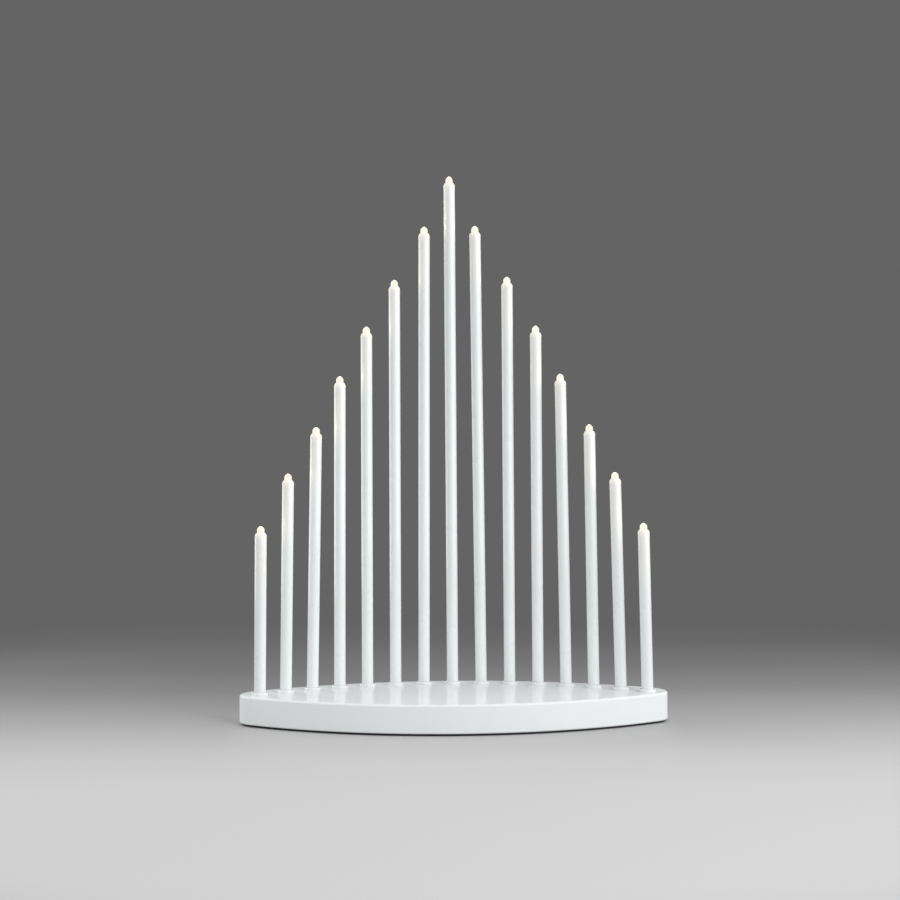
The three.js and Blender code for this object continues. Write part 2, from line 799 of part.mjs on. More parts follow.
function light({ tip }) {
  const dome = quarterRound(domeSteps).map(([inwards, up]) => [
    lightRadius * (1 - inwards),
    tip - lightRadius * (1 - up),
  ]);
  const rimTop = tip - lightLength;
  const rimLow = rimTop - rimHeight;
  const profile = [[0, rimLow], [rimRadius, rimLow], [rimRadius, rimTop], [lightRadius, rimTop], ...dome];
  const wires = [-1, 1].map((side) =>
    block(
      about((side * legSpacing) / 2, legWidth / 2),
      about(0, legWidth / 2),
      [rimLow - legLength, rimTop - rimHeight / 2],
    ),
  );
  return geometryOf(joined([solidOf(turnedGeometry(profile, lightSides)), ...wires]));
}

function meshOf(name, geometry, finish) {
  const mesh = new THREE.Mesh(geometry, new THREE.MeshStandardMaterial(finishes[finish]));
  mesh.name = name;
  return mesh;
}

function candleGroup(candle, index) {
  const number = String(index + 1).padStart(2, '0');
  const group = new THREE.Group();
  group.position.set(candle.x, candle.y, baseHeight);
  group.rotation.y = candle.lean;
  group.add(meshOf(`candle_tube_${number}`, geometryOf(solidOf(candleTube(candle))), 'tube'));
  group.add(meshOf(`tip_cap_${number}`, geometryOf(solidOf(tipCap(candle))), 'cap'));
  group.add(meshOf(`led_${number}`, light(candle), 'light'));
  return group;
}

const candlestick = new THREE.Group();
const add = (name, solid, finish) => candlestick.add(meshOf(name, geometryOf(solid), finish));

add('base_shell', baseShell(), 'lacquer');
add('socket_rail', socketRail(), 'socket');
add('bottom_plate', bottomPlate(), 'black');
add('battery_cover', batteryCover(), 'black');
cells.forEach((cell, index) => add(`battery_cell_${index + 1}`, batteryCell(cell), 'cell'));
add(
  'contact_negative',
  joined([
    contactPlate(-firstCell.side, firstCell.y, firstCell.y),
    contactSpring(-firstCell.side, firstCell.y),
    contactTab(-firstCell.side, firstCell.y),
  ]),
  'contact',
);
cells.slice(0, -1).forEach((cell, index) => {
  add(`contact_bridge_${index + 1}`, bridgeContact(cell, cells[index + 1]), 'contact');
});
add(
  'contact_positive',
  contactPlate(lastCell.side, lastCell.y, lastCell.y).add(contactTab(lastCell.side, lastCell.y)),
  'contact',
);
add('circuit_board', circuitBoard(), 'board');
add('switch_housing', switchHousing(), 'housing');
add('switch_knob', switchKnob(), 'knob');
add('wiring_harness', wiringHarness(), 'wire');
candles.forEach((candle, index) => candlestick.add(candleGroup(candle, index)));

console.log(`contact spring: least gap to itself ${springSelfGap().toFixed(2)} mm`);

export default candlestick;
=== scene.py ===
import math

import bmesh
import bpy
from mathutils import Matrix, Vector


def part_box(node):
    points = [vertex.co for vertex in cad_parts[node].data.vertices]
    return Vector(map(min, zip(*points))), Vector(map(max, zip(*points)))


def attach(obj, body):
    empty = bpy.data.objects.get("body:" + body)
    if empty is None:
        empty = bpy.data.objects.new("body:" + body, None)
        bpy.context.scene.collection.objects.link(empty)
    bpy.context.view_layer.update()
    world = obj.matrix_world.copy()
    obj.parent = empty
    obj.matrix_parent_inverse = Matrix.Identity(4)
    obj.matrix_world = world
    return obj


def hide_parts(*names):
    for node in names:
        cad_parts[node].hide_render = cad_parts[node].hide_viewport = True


# Electric advent candlestick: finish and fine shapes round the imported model, in metres
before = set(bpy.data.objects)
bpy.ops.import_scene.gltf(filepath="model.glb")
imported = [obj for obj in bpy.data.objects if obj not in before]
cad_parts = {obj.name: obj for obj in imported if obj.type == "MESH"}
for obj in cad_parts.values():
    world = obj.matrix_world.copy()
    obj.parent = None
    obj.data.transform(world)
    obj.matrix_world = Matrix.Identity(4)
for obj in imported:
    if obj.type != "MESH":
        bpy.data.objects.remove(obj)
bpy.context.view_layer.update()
mm = 0.001
tolerance = 0.01 * mm  # measures this close are taken as equal
mergeWithin = 0.002 * mm
upright = Vector((0, 0, 1))
spinAxis = -upright  # the spin operator turns clockwise about its axis


def clearSelection():
    if bpy.context.object and bpy.context.object.mode != "OBJECT":
        bpy.ops.object.mode_set(mode="OBJECT")
    bpy.ops.object.select_all(action="DESELECT")


def activate(piece):
    clearSelection()
    piece.select_set(True)
    bpy.context.view_layer.objects.active = piece
    return piece


def startEdit(piece):
    activate(piece)
    bpy.ops.object.mode_set(mode="EDIT")
    bpy.ops.mesh.select_all(action="DESELECT")


def endEdit():
    bpy.ops.object.mode_set(mode="OBJECT")


def pick(piece, kind, test):
    # selects vertices, edges or faces by their place, in edit mode
    bpy.ops.mesh.select_mode(type=kind)
    bpy.ops.mesh.select_all(action="DESELECT")
    mesh = bmesh.from_edit_mesh(piece.data)
    parts = {"VERT": mesh.verts, "EDGE": mesh.edges, "FACE": mesh.faces}[kind]
    for part in parts:
        if test(part):
            part.select_set(True)
    mesh.select_flush_mode()
    bmesh.update_edit_mesh(piece.data)


def middleOf(edge):
    return (edge.verts[0].co + edge.verts[1].co) / 2


def sharpEdge(edge):
    return edge.calc_face_angle(0) > 1


def uprightEdge(edge):
    first, last = (v.co for v in edge.verts)
    return abs(first.x - last.x) + abs(first.y - last.y) < tolerance


def cleanMesh():
    # in edit mode
    bpy.ops.mesh.select_all(action="SELECT")
    bpy.ops.mesh.remove_doubles(threshold=mergeWithin)
    bpy.ops.mesh.normals_make_consistent(inside=False)


def modify(piece, kind, **settings):
    activate(piece)
    modifier = piece.modifiers.new(kind.lower(), kind)
    for key, value in settings.items():
        setattr(modifier, key, value)
    bpy.ops.object.modifier_apply(modifier=modifier.name)
    return piece


def joinPieces(pieces):
    activate(pieces[0])
    for piece in pieces:
        piece.select_set(True)
    bpy.ops.object.join()
    return pieces[0]


def combine(piece, other, operation="UNION"):
    modify(piece, "BOOLEAN", object=other, operation=operation, solver="EXACT")
    bpy.data.objects.remove(other)
    return piece


def cutAway(piece, other):
    return combine(piece, other, "DIFFERENCE")


def copyPiece(piece, name):
    copied = piece.copy()
    copied.data = piece.data.copy()
    copied.name = name
    bpy.context.scene.collection.objects.link(copied)
    return copied


def bakePlace(piece):
    activate(piece)
    bpy.ops.object.transform_apply(location=True, rotation=True, scale=True)
    return piece


def setDown(piece, place, turn=(0, 0, 0)):
    # place in millimetres, turn in radians
    piece.location = Vector(place) * mm
    piece.rotation_euler = turn
    return bakePlace(piece)


def setCopies(model, standings):
    # a copy of the model for each place and turn, and the model goes
    pieces = [setDown(copyPiece(model, "copy"), *standing) for standing in standings]
    bpy.data.objects.remove(model)
    return pieces


def firstPoint(place):
    # a plane merged into one point, the start of a drawn line
    clearSelection()
    bpy.ops.mesh.primitive_plane_add(size=mm, location=(0, 0, 0))
    piece = bpy.context.object
    bpy.ops.object.mode_set(mode="EDIT")
    bpy.ops.mesh.select_mode(type="VERT")
    bpy.ops.mesh.select_all(action="SELECT")
    bpy.ops.mesh.merge(type="CENTER")
    bpy.ops.transform.translate(value=place)
    return piece


def turnedPiece(profile, steps):
    # a line of (radius, height) pairs in millimetres, turned about the upright axis
    points = [Vector((radius, 0, height)) * mm for radius, height in profile]
    piece = firstPoint(points[0])
    for last, point in zip(points, points[1:]):
        bpy.ops.mesh.extrude_region_move(TRANSFORM_OT_translate={"value": point - last})
    bpy.ops.mesh.select_all(action="SELECT")
    bpy.ops.mesh.spin(steps=steps, dupli=False, angle=2 * math.pi, center=(0, 0, 0), axis=upright)
    cleanMesh()
    endEdit()
    return piece


def roundCorner(centre, radius, fromAngle, toAngle, steps):
    # points of an arc in a profile, angles in degrees from straight outwards
    points = []
    for step in range(steps + 1):
        angle = math.radians(fromAngle + (toAngle - fromAngle) * step / steps)
        points.append((centre[0] + radius * math.cos(angle), centre[1] + radius * math.sin(angle)))
    return points


def addBox(low, high):
    clearSelection()
    low, high = Vector(low) * mm, Vector(high) * mm
    bpy.ops.mesh.primitive_cube_add(size=1, location=(low + high) / 2)
    piece = bpy.context.object
    piece.scale = high - low
    return bakePlace(piece)


def around(x, y, halfX, halfY, low, high):
    # corners of a box about the middle (x, y)
    return (x - halfX, y - halfY, low), (x + halfX, y + halfY, high)


def addPost(x, y, radius, low, high, sides=32):
    clearSelection()
    place = Vector((x, y, (low + high) / 2)) * mm
    bpy.ops.mesh.primitive_cylinder_add(
        vertices=sides, radius=radius * mm, depth=(high - low) * mm, location=place
    )
    return bakePlace(bpy.context.object)


def addPosts(places, radius, low, high, sides=32):
    return joinPieces([addPost(x, y, radius, low, high, sides) for x, y in places])


def bevelEdges(piece, width, segments, test):
    startEdit(piece)
    pick(piece, "EDGE", test)
    bpy.ops.mesh.bevel(offset=width * mm, segments=segments, affect="EDGES", profile=0.5)
    endEdit()
    return piece


def roundBox(low, high, width, segments=2, test=None):
    return bevelEdges(addBox(low, high), width, segments, test or (lambda e: True))


def smooth(piece, angle):
    activate(piece)
    bpy.ops.object.shade_smooth_by_angle(angle=math.radians(angle))
    return modify(piece, "WEIGHTED_NORMAL", keep_sharp=True, weight=60)


def withMaterial(piece, material):
    piece.data.materials.clear()
    piece.data.materials.append(material)
    return piece


def finishPiece(piece, name, body, material, replaced=(), angle=35):
    smooth(piece, angle)
    piece.name = name
    piece.data.name = name
    if material:
        withMaterial(piece, material)
    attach(piece, body)
    if replaced:
        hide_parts(*replaced)
    return piece


def finishCopies(model, standings, name, material, nodes=()):
    for index, piece in enumerate(setCopies(model, standings)):
        finishPiece(piece, f"{name}{index + 1}", "base", material, nodes[index:index + 1])


# Materials
def newMaterial(name, **values):
    material = bpy.data.materials.new(name)
    material.use_nodes = True
    shader = material.node_tree.nodes["Principled BSDF"]
    for key, value in values.items():
        shader.inputs[key].default_value = value
    return material, material.node_tree, shader


def feed(tree, socket, source):
    # links an output to the socket, or sets a plain value
    if isinstance(source, bpy.types.NodeSocket):
        tree.links.new(source, socket)
    else:
        socket.default_value = source


def addNode(tree, kind, *sources, **settings):
    # sources go to the inputs in their order, settings by their names
    node = tree.nodes.new(kind)
    for key, value in settings.items():
        if key in node.inputs:
            feed(tree, node.inputs[key], value)
        else:
            setattr(node, key, value)
    for socket, source in zip(node.inputs, sources):
        feed(tree, socket, source)
    return node


def addMath(tree, operation, *sources):
    return addNode(tree, "ShaderNodeMath", *sources, operation=operation).outputs["Value"]


def mixShaders(tree, share, first, second):
    return addNode(tree, "ShaderNodeMixShader", share, first, second).outputs["Shader"]


def spread(tree, source, low, high, toLow=0, toHigh=1, kind="LINEAR"):
    ends = low, high, toLow, toHigh
    return addNode(tree, "ShaderNodeMapRange", source, *ends, interpolation_type=kind).outputs["Result"]


def addRamp(tree, source, stops):
    # stops are pairs of place and colour
    ramp = addNode(tree, "ShaderNodeValToRGB", source)
    elements = ramp.color_ramp.elements
    elements[0].position, elements[1].position = stops[0][0], stops[-1][0]
    for place, colour in stops[1:-1]:
        elements.new(place)
    for element, (place, colour) in zip(elements, stops):
        element.color = (*colour, 1)
    return ramp.outputs["Color"]


def scaleColour(tree, colour, share):
    return addNode(tree, "ShaderNodeVectorMath", colour, operation="SCALE", Scale=share).outputs["Vector"]


def objectPlace(tree):
    return addNode(tree, "ShaderNodeTexCoord").outputs["Object"]


def objectNoise(tree, scale, detail=3.0, stretch=(1, 1, 1)):
    mapping = addNode(tree, "ShaderNodeMapping", objectPlace(tree), Scale=stretch)
    noise = addNode(tree, "ShaderNodeTexNoise", mapping.outputs["Vector"], Scale=scale, Detail=detail)
    return noise.outputs["Fac"]


def unevenColour(tree, scale, settings):
    # blotches between the dark and the light tone
    tones = [(0.35, settings["dark"]), (0.65, settings["light"])]
    return addRamp(tree, objectNoise(tree, scale, 4), tones)


def varyRoughness(tree, shader, source, low, high):
    feed(tree, shader.inputs["Roughness"], spread(tree, source, 0.3, 0.7, low, high))


def addBump(tree, shader, source, strength, depth, socket="Normal"):
    bump = addNode(tree, "ShaderNodeBump", Strength=strength, Distance=depth * mm, Height=source)
    feed(tree, shader.inputs[socket], bump.outputs["Normal"])


def paintFootShade(tree, colour, settings):
    # painted shade: the colour a little darker towards the foot, holding back the light that the deck throws
    # up onto the tube
    height = addNode(tree, "ShaderNodeSeparateXYZ", objectPlace(tree)).outputs["Z"]
    return scaleColour(tree, colour, spread(tree, height, *settings["footShadeHeights"], settings["footShadeTone"]))


def whitePaint(name, settings):
    # gloss white with a faint orange peel, a clear coat and a trace of uneven tone
    material, tree, shader = newMaterial(name, **{
        "Coat Weight": settings["coat"], "Coat Roughness": settings["coatRoughness"],
        "Specular IOR Level": settings["specular"],
    })
    colour = unevenColour(tree, 18, settings)
    if "glow" in settings:
        # painted shade towards the foot
        colour = paintFootShade(tree, colour, settings)
        # painted glow: faint warm light near the top, standing in for the tip lights falling on the tube, by
        # the share that makeTubes marks on the mesh
        share = addNode(tree, "ShaderNodeAttribute", attribute_name="glowShare").outputs["Fac"]
        feed(tree, shader.inputs["Emission Color"], addRamp(tree, share, settings["glow"]))
        shader.inputs["Emission Strength"].default_value = 1
    feed(tree, shader.inputs["Base Color"], colour)
    varyRoughness(tree, shader, objectNoise(tree, 60, 5), *settings["roughness"])
    peel = objectNoise(tree, settings["peelScale"], 1.5)
    for socket in ("Normal", "Coat Normal"):
        addBump(tree, shader, peel, 1.0, settings["peelDepth"], socket)
    return material


def mouldedPlastic(name, settings):
    # moulded plastic with an even fine grain
    material, tree, shader = newMaterial(name, **{"Specular IOR Level": settings.get("specular", 0.5)})
    feed(tree, shader.inputs["Base Color"], unevenColour(tree, 45, settings))
    varyRoughness(tree, shader, objectNoise(tree, 300, 3), *settings["roughness"])
    addBump(tree, shader, objectNoise(tree, settings["grainScale"], 2), 0.6, settings["grainDepth"])
    return material


def metalFinish(name, settings):
    material, tree, shader = newMaterial(name, Metallic=1.0)
    feed(tree, shader.inputs["Base Color"], unevenColour(tree, 90, settings))
    varyRoughness(tree, shader, objectNoise(tree, 220, 4, settings["brush"]), *settings["roughness"])
    addBump(tree, shader, objectNoise(tree, 900, 2, settings["brush"]), 0.3, 0.01)
    return material


paint = {
    "lacquer": {
        "dark": (0.795, 0.82, 0.82), "light": (0.808, 0.83, 0.83), "roughness": (0.12, 0.15),
        "specular": 0.022, "coat": 0.0, "coatRoughness": 0.05, "peelScale": 420, "peelDepth": 0.004,
    },
    "tube": {
        "dark": (0.882, 0.909, 0.911), "light": (0.888, 0.915, 0.917), "roughness": (0.27, 0.29),
        "specular": 0.5, "coat": 1.0, "coatRoughness": 0.08, "peelScale": 500, "peelDepth": 0.0005,
        # painted shade, darker towards the foot: how much of the colour is left there, and between which
        # heights
        "footShadeTone": 0.93, "footShadeHeights": (0.03, 0.13),
        # painted glow in the top part, standing in for the tip lights falling on it: its colour from the
        # part's lower end to the top, and that part's length
        "glowLength": 42, "glow": [
            (0, (0, 0, 0)), (0.476, (0.033, 0.019, 0)), (0.94, (0.036, 0.021, 0.002)),
            (1, (0.085, 0.06, 0.03)),
        ],
    },
    "socket": {
        "dark": (0.80, 0.82, 0.82), "light": (0.82, 0.84, 0.84), "roughness": (0.2, 0.3),
        "specular": 0.5, "coat": 0.3, "coatRoughness": 0.1, "peelScale": 700, "peelDepth": 0.004,
    },
}
plastic = {
    "black": {
        "dark": (0.011, 0.011, 0.012), "light": (0.018, 0.018, 0.019), "roughness": (0.46, 0.58),
        "grainScale": 2600, "grainDepth": 0.03, "specular": 0.4,
    },
    "knob": {
        "dark": (0.03, 0.03, 0.032), "light": (0.045, 0.045, 0.048), "roughness": (0.4, 0.5),
        "grainScale": 3500, "grainDepth": 0.015,
    },
    "board": {
        "dark": (0.02, 0.09, 0.035), "light": (0.03, 0.13, 0.05), "roughness": (0.3, 0.42),
        "grainScale": 900, "grainDepth": 0.02,
    },
    "trace": {
        "dark": (0.045, 0.17, 0.07), "light": (0.06, 0.21, 0.09), "roughness": (0.25, 0.35),
        "grainScale": 900, "grainDepth": 0.01,
    },
    "foam": {
        "dark": (0.02, 0.02, 0.02), "light": (0.035, 0.035, 0.035), "roughness": (0.85, 0.95),
        "grainScale": 1800, "grainDepth": 0.08,
    },
    "sleeve": {
        "dark": (0.05, 0.052, 0.056), "light": (0.07, 0.072, 0.078), "roughness": (0.25, 0.36),
        "grainScale": 700, "grainDepth": 0.008,
    },
    "band": {
        "dark": (0.5, 0.3, 0.12), "light": (0.58, 0.36, 0.16), "roughness": (0.25, 0.34),
        "grainScale": 700, "grainDepth": 0.008,
    },
    "wire": {
        "dark": (0.6, 0.6, 0.58), "light": (0.7, 0.7, 0.68), "roughness": (0.45, 0.6),
        "grainScale": 1200, "grainDepth": 0.01,
    },
}
metal = {
    "contact": {
        "dark": (0.62, 0.61, 0.58), "light": (0.72, 0.71, 0.68), "roughness": (0.22, 0.34),
        "brush": (1, 6, 1),
    },
    "cell": {
        "dark": (0.42, 0.43, 0.45), "light": (0.5, 0.51, 0.53), "roughness": (0.28, 0.4),
        "brush": (1, 8, 8),
    },
    "can": {
        "dark": (0.55, 0.55, 0.56), "light": (0.66, 0.66, 0.67), "roughness": (0.28, 0.4),
        "brush": (8, 1, 1),
    },
    "screw": {
        "dark": (0.3, 0.3, 0.31), "light": (0.38, 0.38, 0.4), "roughness": (0.3, 0.42),
        "brush": (1, 1, 1),
    },
}
lacquer = whitePaint("whiteLacquer", paint["lacquer"])
tubePaint = whitePaint("tubePaint", paint["tube"])
socketWhite = whitePaint("socketPlastic", paint["socket"])
blackPlastic = mouldedPlastic("blackPlastic", plastic["black"])
knobPlastic = mouldedPlastic("knobPlastic", plastic["knob"])
boardGreen = mouldedPlastic("boardGreen", plastic["board"])
wireWhite = mouldedPlastic("wireInsulation", plastic["wire"])
traceGreen = mouldedPlastic("boardTrace", plastic["trace"])
softFoam = mouldedPlastic("softFoam", plastic["foam"])
cellSleeve = mouldedPlastic("cellSleeve", plastic["sleeve"])
cellBand = mouldedPlastic("cellBand", plastic["band"])
contactSteel = metalFinish("contactSteel", metal["contact"])
cellMetal = metalFinish("cellMetal", metal["cell"])
canSteel = metalFinish("canSteel", metal["can"])
screwSteel = metalFinish("screwSteel", metal["screw"])


glow = {
    # the cap's colour, then its painted glow, colour and strength; the dome is the light itself
    "capColour": (0.82, 0.825, 0.81), "capPaintedGlow": (1.0, 0.87, 0.55), "capPaintedGlowStrength": 0.15,
    "domeColour": (1.0, 0.93, 0.79), "domeStrength": 0.96,
}


def milkyPlastic():
    # translucent cap, lit from inside by a painted glow: a weak warm emission that stands in for the light
    # that it holds
    material, tree, shader = newMaterial("milkyCap", **{
        "Base Color": (*glow["capColour"], 1), "Roughness": 0.3, "Subsurface Weight": 0.35,
        "Subsurface Radius": (1.0, 0.9, 0.75), "Subsurface Scale": 1.2 * mm,
        "Emission Color": (*glow["capPaintedGlow"], 1), "Emission Strength": glow["capPaintedGlowStrength"],
    })
    addBump(tree, shader, objectNoise(tree, 1500, 2), 0.4, 0.006)
    varyRoughness(tree, shader, objectNoise(tree, 500, 2), 0.26, 0.36)
    return material


def lightDome():
    # clear resin, lit warm white right through
    material, tree, shader = newMaterial("lightDome", **{
        "Base Color": (0.05, 0.048, 0.04, 1), "Roughness": 0.08, "Coat Weight": 0.3,
        "Emission Color": (*glow["domeColour"], 1), "Emission Strength": glow["domeStrength"],
    })
    varyRoughness(tree, shader, objectNoise(tree, 800, 2), 0.06, 0.12)
    return material


milkyCap = milkyPlastic()
domeGlow = lightDome()
print("materials made")

# Candle places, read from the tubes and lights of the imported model, in millimetres
candleCount = 15
shellLow, shellHigh = (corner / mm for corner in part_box("base_shell"))
deck = shellHigh.z  # height of the shell's top


def pointsOf(node):
    return [v.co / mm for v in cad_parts[node].data.vertices]


def middleOfPoints(points):
    low = Vector([min(p[i] for p in points) for i in range(3)])
    high = Vector([max(p[i] for p in points) for i in range(3)])
    return (low + high) / 2


def candlePlace(number):
    # seat is where the axis meets the shell's top; low, high and tip are measured from there
    points = pointsOf(f"candle_tube_{number}")
    split = sum(p.z for p in points) / len(points)
    foot = middleOfPoints([p for p in points if p.z < split])
    top = middleOfPoints([p for p in points if p.z > split])
    axis = (top - foot).normalized()
    seat = foot + axis * (deck - foot.z) / axis.z
    tip = max((p - seat).dot(axis) for p in pointsOf(f"led_{number}"))
    return {
        "number": number, "seat": seat, "axis": axis, "lean": math.atan2(axis.x, axis.z),
        "low": (foot - seat).dot(axis), "high": (top - seat).dot(axis), "tip": tip,
    }


candles = [candlePlace(f"{number + 1:02d}") for number in range(candleCount)]


def standing(candle, height=0):
    # place and turn on a candle's axis
    return candle["seat"] + candle["axis"] * height, (0, candle["lean"], 0)


def standOnCandle(piece, candle):
    return setDown(piece, *standing(candle))


def finishAtTips(model, name, node, material):
    tips = [standing(candle, candle["tip"]) for candle in candles]
    for candle, piece in zip(candles, setCopies(model, tips)):
        number = candle["number"]
        finishPiece(piece, name + number, "base", material, [f"{node}_{number}"])


seats = [(candle["seat"].x, candle["seat"].y) for candle in candles]


def rowCircle():
    # middle and radius of the arc that the seats lie on, from its last and its middle seat
    last, middle = candles[-1]["seat"], candles[candleCount // 2]["seat"]
    rise = middle.y - last.y
    radius = (last.x**2 + rise**2) / (2 * rise)
    return middle.y - radius, radius


rowCentre, rowRadius = rowCircle()
pitchAngle = 2 * math.asin(candles[-1]["seat"].x / rowRadius) / (candleCount - 1)

outline = {"noseRadius": 15.5, "sideSteps": 96, "noseSteps": 30}
halfLength, halfDepth = shellHigh.x, shellHigh.y
noseRadius = outline["noseRadius"]
noseX = halfLength - noseRadius
sideY = (noseX**2 + halfDepth**2 - noseRadius**2) / (2 * (halfDepth - noseRadius)) - halfDepth


def lensFace(inset, height):
    # the base's outline as one face in edit mode: two wide arcs joined by a nose at each end
    reach = noseRadius - inset
    turn = math.atan2(sideY, noseX)
    piece = firstPoint(Vector((noseX + reach * math.cos(turn), -reach * math.sin(turn), height)) * mm)
    arcs = [
        ((noseX, 0), 2 * turn, outline["noseSteps"]),
        ((0, -sideY), math.pi - 2 * turn, outline["sideSteps"]),
        ((-noseX, 0), 2 * turn, outline["noseSteps"]),
        ((0, sideY), math.pi - 2 * turn, outline["sideSteps"]),
    ]
    for (x, y), angle, steps in arcs:
        centre = Vector((x, y, height)) * mm
        bpy.ops.mesh.spin(steps=steps, dupli=False, angle=angle, center=centre, axis=spinAxis)
    bpy.ops.mesh.select_all(action="SELECT")
    bpy.ops.mesh.remove_doubles(threshold=mergeWithin)
    bpy.ops.mesh.edge_face_add()
    return piece


def lensSlab(inset, low, high):
    piece = lensFace(inset, low)
    bpy.ops.mesh.extrude_region_move(TRANSFORM_OT_translate={"value": (0, 0, (high - low) * mm)})
    cleanMesh()
    endEdit()
    return piece


def atHeight(height):
    # a test for edges that lie at one height
    return lambda edge: all(abs(v.co.z - height * mm) < tolerance for v in edge.verts)


def uprightOrAt(height):
    return lambda edge: uprightEdge(edge) or atHeight(height)(edge)


# Base shell, pressed sheet with its lower edge turned in
collar = {"radius": 5.65, "height": 2.1}
shell = {
    "wall": 1.1, "topRadius": 1.6, "footRadius": 1.2, "flange": 2.4, "holeGap": 0.05, "holeSides": 64,
}


def makeShell():
    low = shellLow.z
    piece = lensSlab(0, low, deck)
    bevelEdges(piece, shell["topRadius"], 8, atHeight(deck))
    bevelEdges(piece, shell["footRadius"], 5, atHeight(low))
    startEdit(piece)
    pick(piece, "FACE", lambda f: f.normal.z < -0.99 and f.calc_center_median().z < 2 * low * mm)
    bpy.ops.mesh.inset(thickness=(shell["flange"] - shell["footRadius"]) * mm)
    bpy.ops.mesh.delete(type="FACE")
    endEdit()
    modify(piece, "SOLIDIFY", thickness=shell["wall"] * mm, offset=-1, use_even_offset=True)
    radius = collar["radius"] + shell["holeGap"]
    cutAway(piece, addPosts(seats, radius, deck - 3, deck + 1, shell["holeSides"]))
    return finishPiece(piece, "baseShell", "base", lacquer, ["base_shell"])


makeShell()
print("base shell made")

# Socket rail: one moulding, and its sockets stand out of the shell as the collars
rail = {
    "rounding": 1.05, "bore": 4.3, "boreFlare": 0.2, "leadHole": 1.4, "floor": 1.5, "gap": 0.3,
    "margin": 0.35, "top": 1.5, "thickness": 3, "edge": 0.5, "smallEdge": 0.3, "earRadius": 4.5,
    "legRadius": 3, "legLow": 2, "legAcross": 7.5, "pilot": 1.1, "pilotTop": 11, "sides": 48, "steps": 84,
    # a leg on each side: pitches from the middle, and which side of the row
    "legs": ((2.5, 1), (6.5, 1), (4.5, -1)),
}
socketLow = deck + candles[0]["low"] - rail["gap"] - rail["floor"]


def legPlaces():
    places = []
    for along, across in rail["legs"]:
        for side in (-1, 1):
            angle = side * along * pitchAngle
            reach = rowRadius + across * rail["legAcross"]
            places.append((reach * math.sin(angle), rowCentre + reach * math.cos(angle)))
    return places


legs = legPlaces()


def makeSockets():
    top, radius = deck + collar["height"], collar["radius"]
    rounding, edge = rail["rounding"], rail["smallEdge"]
    corner = roundCorner((radius - rounding, top - rounding), rounding, 0, 90, 6)
    profile = [(0, socketLow), (radius - edge, socketLow), (radius, socketLow + edge), *corner, (0, top)]
    model = turnedPiece(profile, rail["sides"])
    return joinPieces(setCopies(model, [((x, y, 0),) for x, y in seats]))


def makeBar():
    # the bar's section, spun along the row
    half, thick = collar["radius"] + rail["margin"], rail["thickness"]
    start, middle = -pitchAngle * (candleCount - 1) / 2, deck - rail["top"] - thick / 2
    clearSelection()
    bpy.ops.mesh.primitive_plane_add(size=1, rotation=(0, math.pi / 2, -start))
    piece = bpy.context.object
    piece.scale = Vector((thick, 2 * half, 1)) * mm
    piece.location = Vector((rowRadius * math.sin(start), rowRadius * math.cos(start), middle)) * mm
    bakePlace(piece)
    bpy.ops.object.mode_set(mode="EDIT")
    bpy.ops.mesh.select_all(action="SELECT")
    bpy.ops.mesh.spin(steps=rail["steps"], dupli=False, angle=-2 * start, center=(0, 0, 0), axis=upright)
    bpy.ops.mesh.select_all(action="SELECT")
    bpy.ops.transform.translate(value=(0, rowCentre * mm, 0))
    cleanMesh()
    endEdit()
    return bevelEdges(piece, rail["edge"], 2, lambda e: sharpEdge(e) and not uprightEdge(e))


def makeRail():
    foot, high = rail["legLow"], deck - rail["top"]
    low = high - rail["thickness"]
    piece = combine(makeBar(), makeSockets())
    ears = addPosts(legs, rail["earRadius"], low, high, rail["sides"])
    bevelEdges(ears, rail["edge"], 2, lambda e: atHeight(low)(e) or atHeight(high)(e))
    combine(piece, ears)
    posts = addPosts(legs, rail["legRadius"], foot, high - 1, rail["sides"])
    bevelEdges(posts, rail["smallEdge"], 2, atHeight(foot))
    combine(piece, posts)
    start, top, flare = candles[0]["low"] - rail["gap"], collar["height"], rail["boreFlare"]
    bore, mouth = rail["bore"], rail["bore"] + flare
    profile = [(0, start), (bore, start), (bore, top - flare), (mouth, top), (mouth, top + 1), (0, top + 1)]
    bores = setCopies(turnedPiece(profile, rail["sides"]), [standing(candle) for candle in candles])
    cutAway(piece, joinPieces(bores))
    holes = [standOnCandle(addPost(0, 0, rail["leadHole"], start - 3, 0, 24), candle) for candle in candles]
    holes.append(addPosts(legs, rail["pilot"], 1, rail["pilotTop"], 24))
    cutAway(piece, joinPieces(holes))
    return finishPiece(piece, "socketRail", "base", socketWhite, ["socket_rail"])


makeRail()
print("socket rail made")

# Candle tubes, modelled once and drawn out to each length
tube = {"radius": 4, "bore": 3.6, "edge": 0.06, "sides": 48}


def makeTubes():
    low, high, edge = candles[0]["low"], candles[0]["high"], tube["edge"]
    radius, bore = tube["radius"], tube["bore"]
    profile = [
        (bore, low + edge), (bore + edge, low), (radius - edge, low), (radius, low + edge),
        (radius, high - edge), (radius - edge, high), (bore + edge, high), (bore, high - edge),
        (bore, low + edge),
    ]
    model = turnedPiece(profile, tube["sides"])
    for candle in candles:
        piece, number = copyPiece(model, "tube"), candle["number"]
        startEdit(piece)
        pick(piece, "VERT", lambda v: v.co.z > 0)
        bpy.ops.transform.translate(value=(0, 0, (candle["high"] - high) * mm))
        endEdit()
        # how far up the top part with the painted glow each vertex is: below nought under it, one at the top
        marks = piece.data.attributes.new("glowShare", "FLOAT", "POINT")
        for mark, vertex in zip(marks.data, piece.data.vertices):
            mark.value = 1 - (candle["high"] - vertex.co.z / mm) / paint["tube"]["glowLength"]
        standOnCandle(piece, candle)
        finishPiece(piece, "candleTube" + number, "base", tubePaint, [f"candle_tube_{number}"])
    bpy.data.objects.remove(model)


makeTubes()
print("candle tubes made")

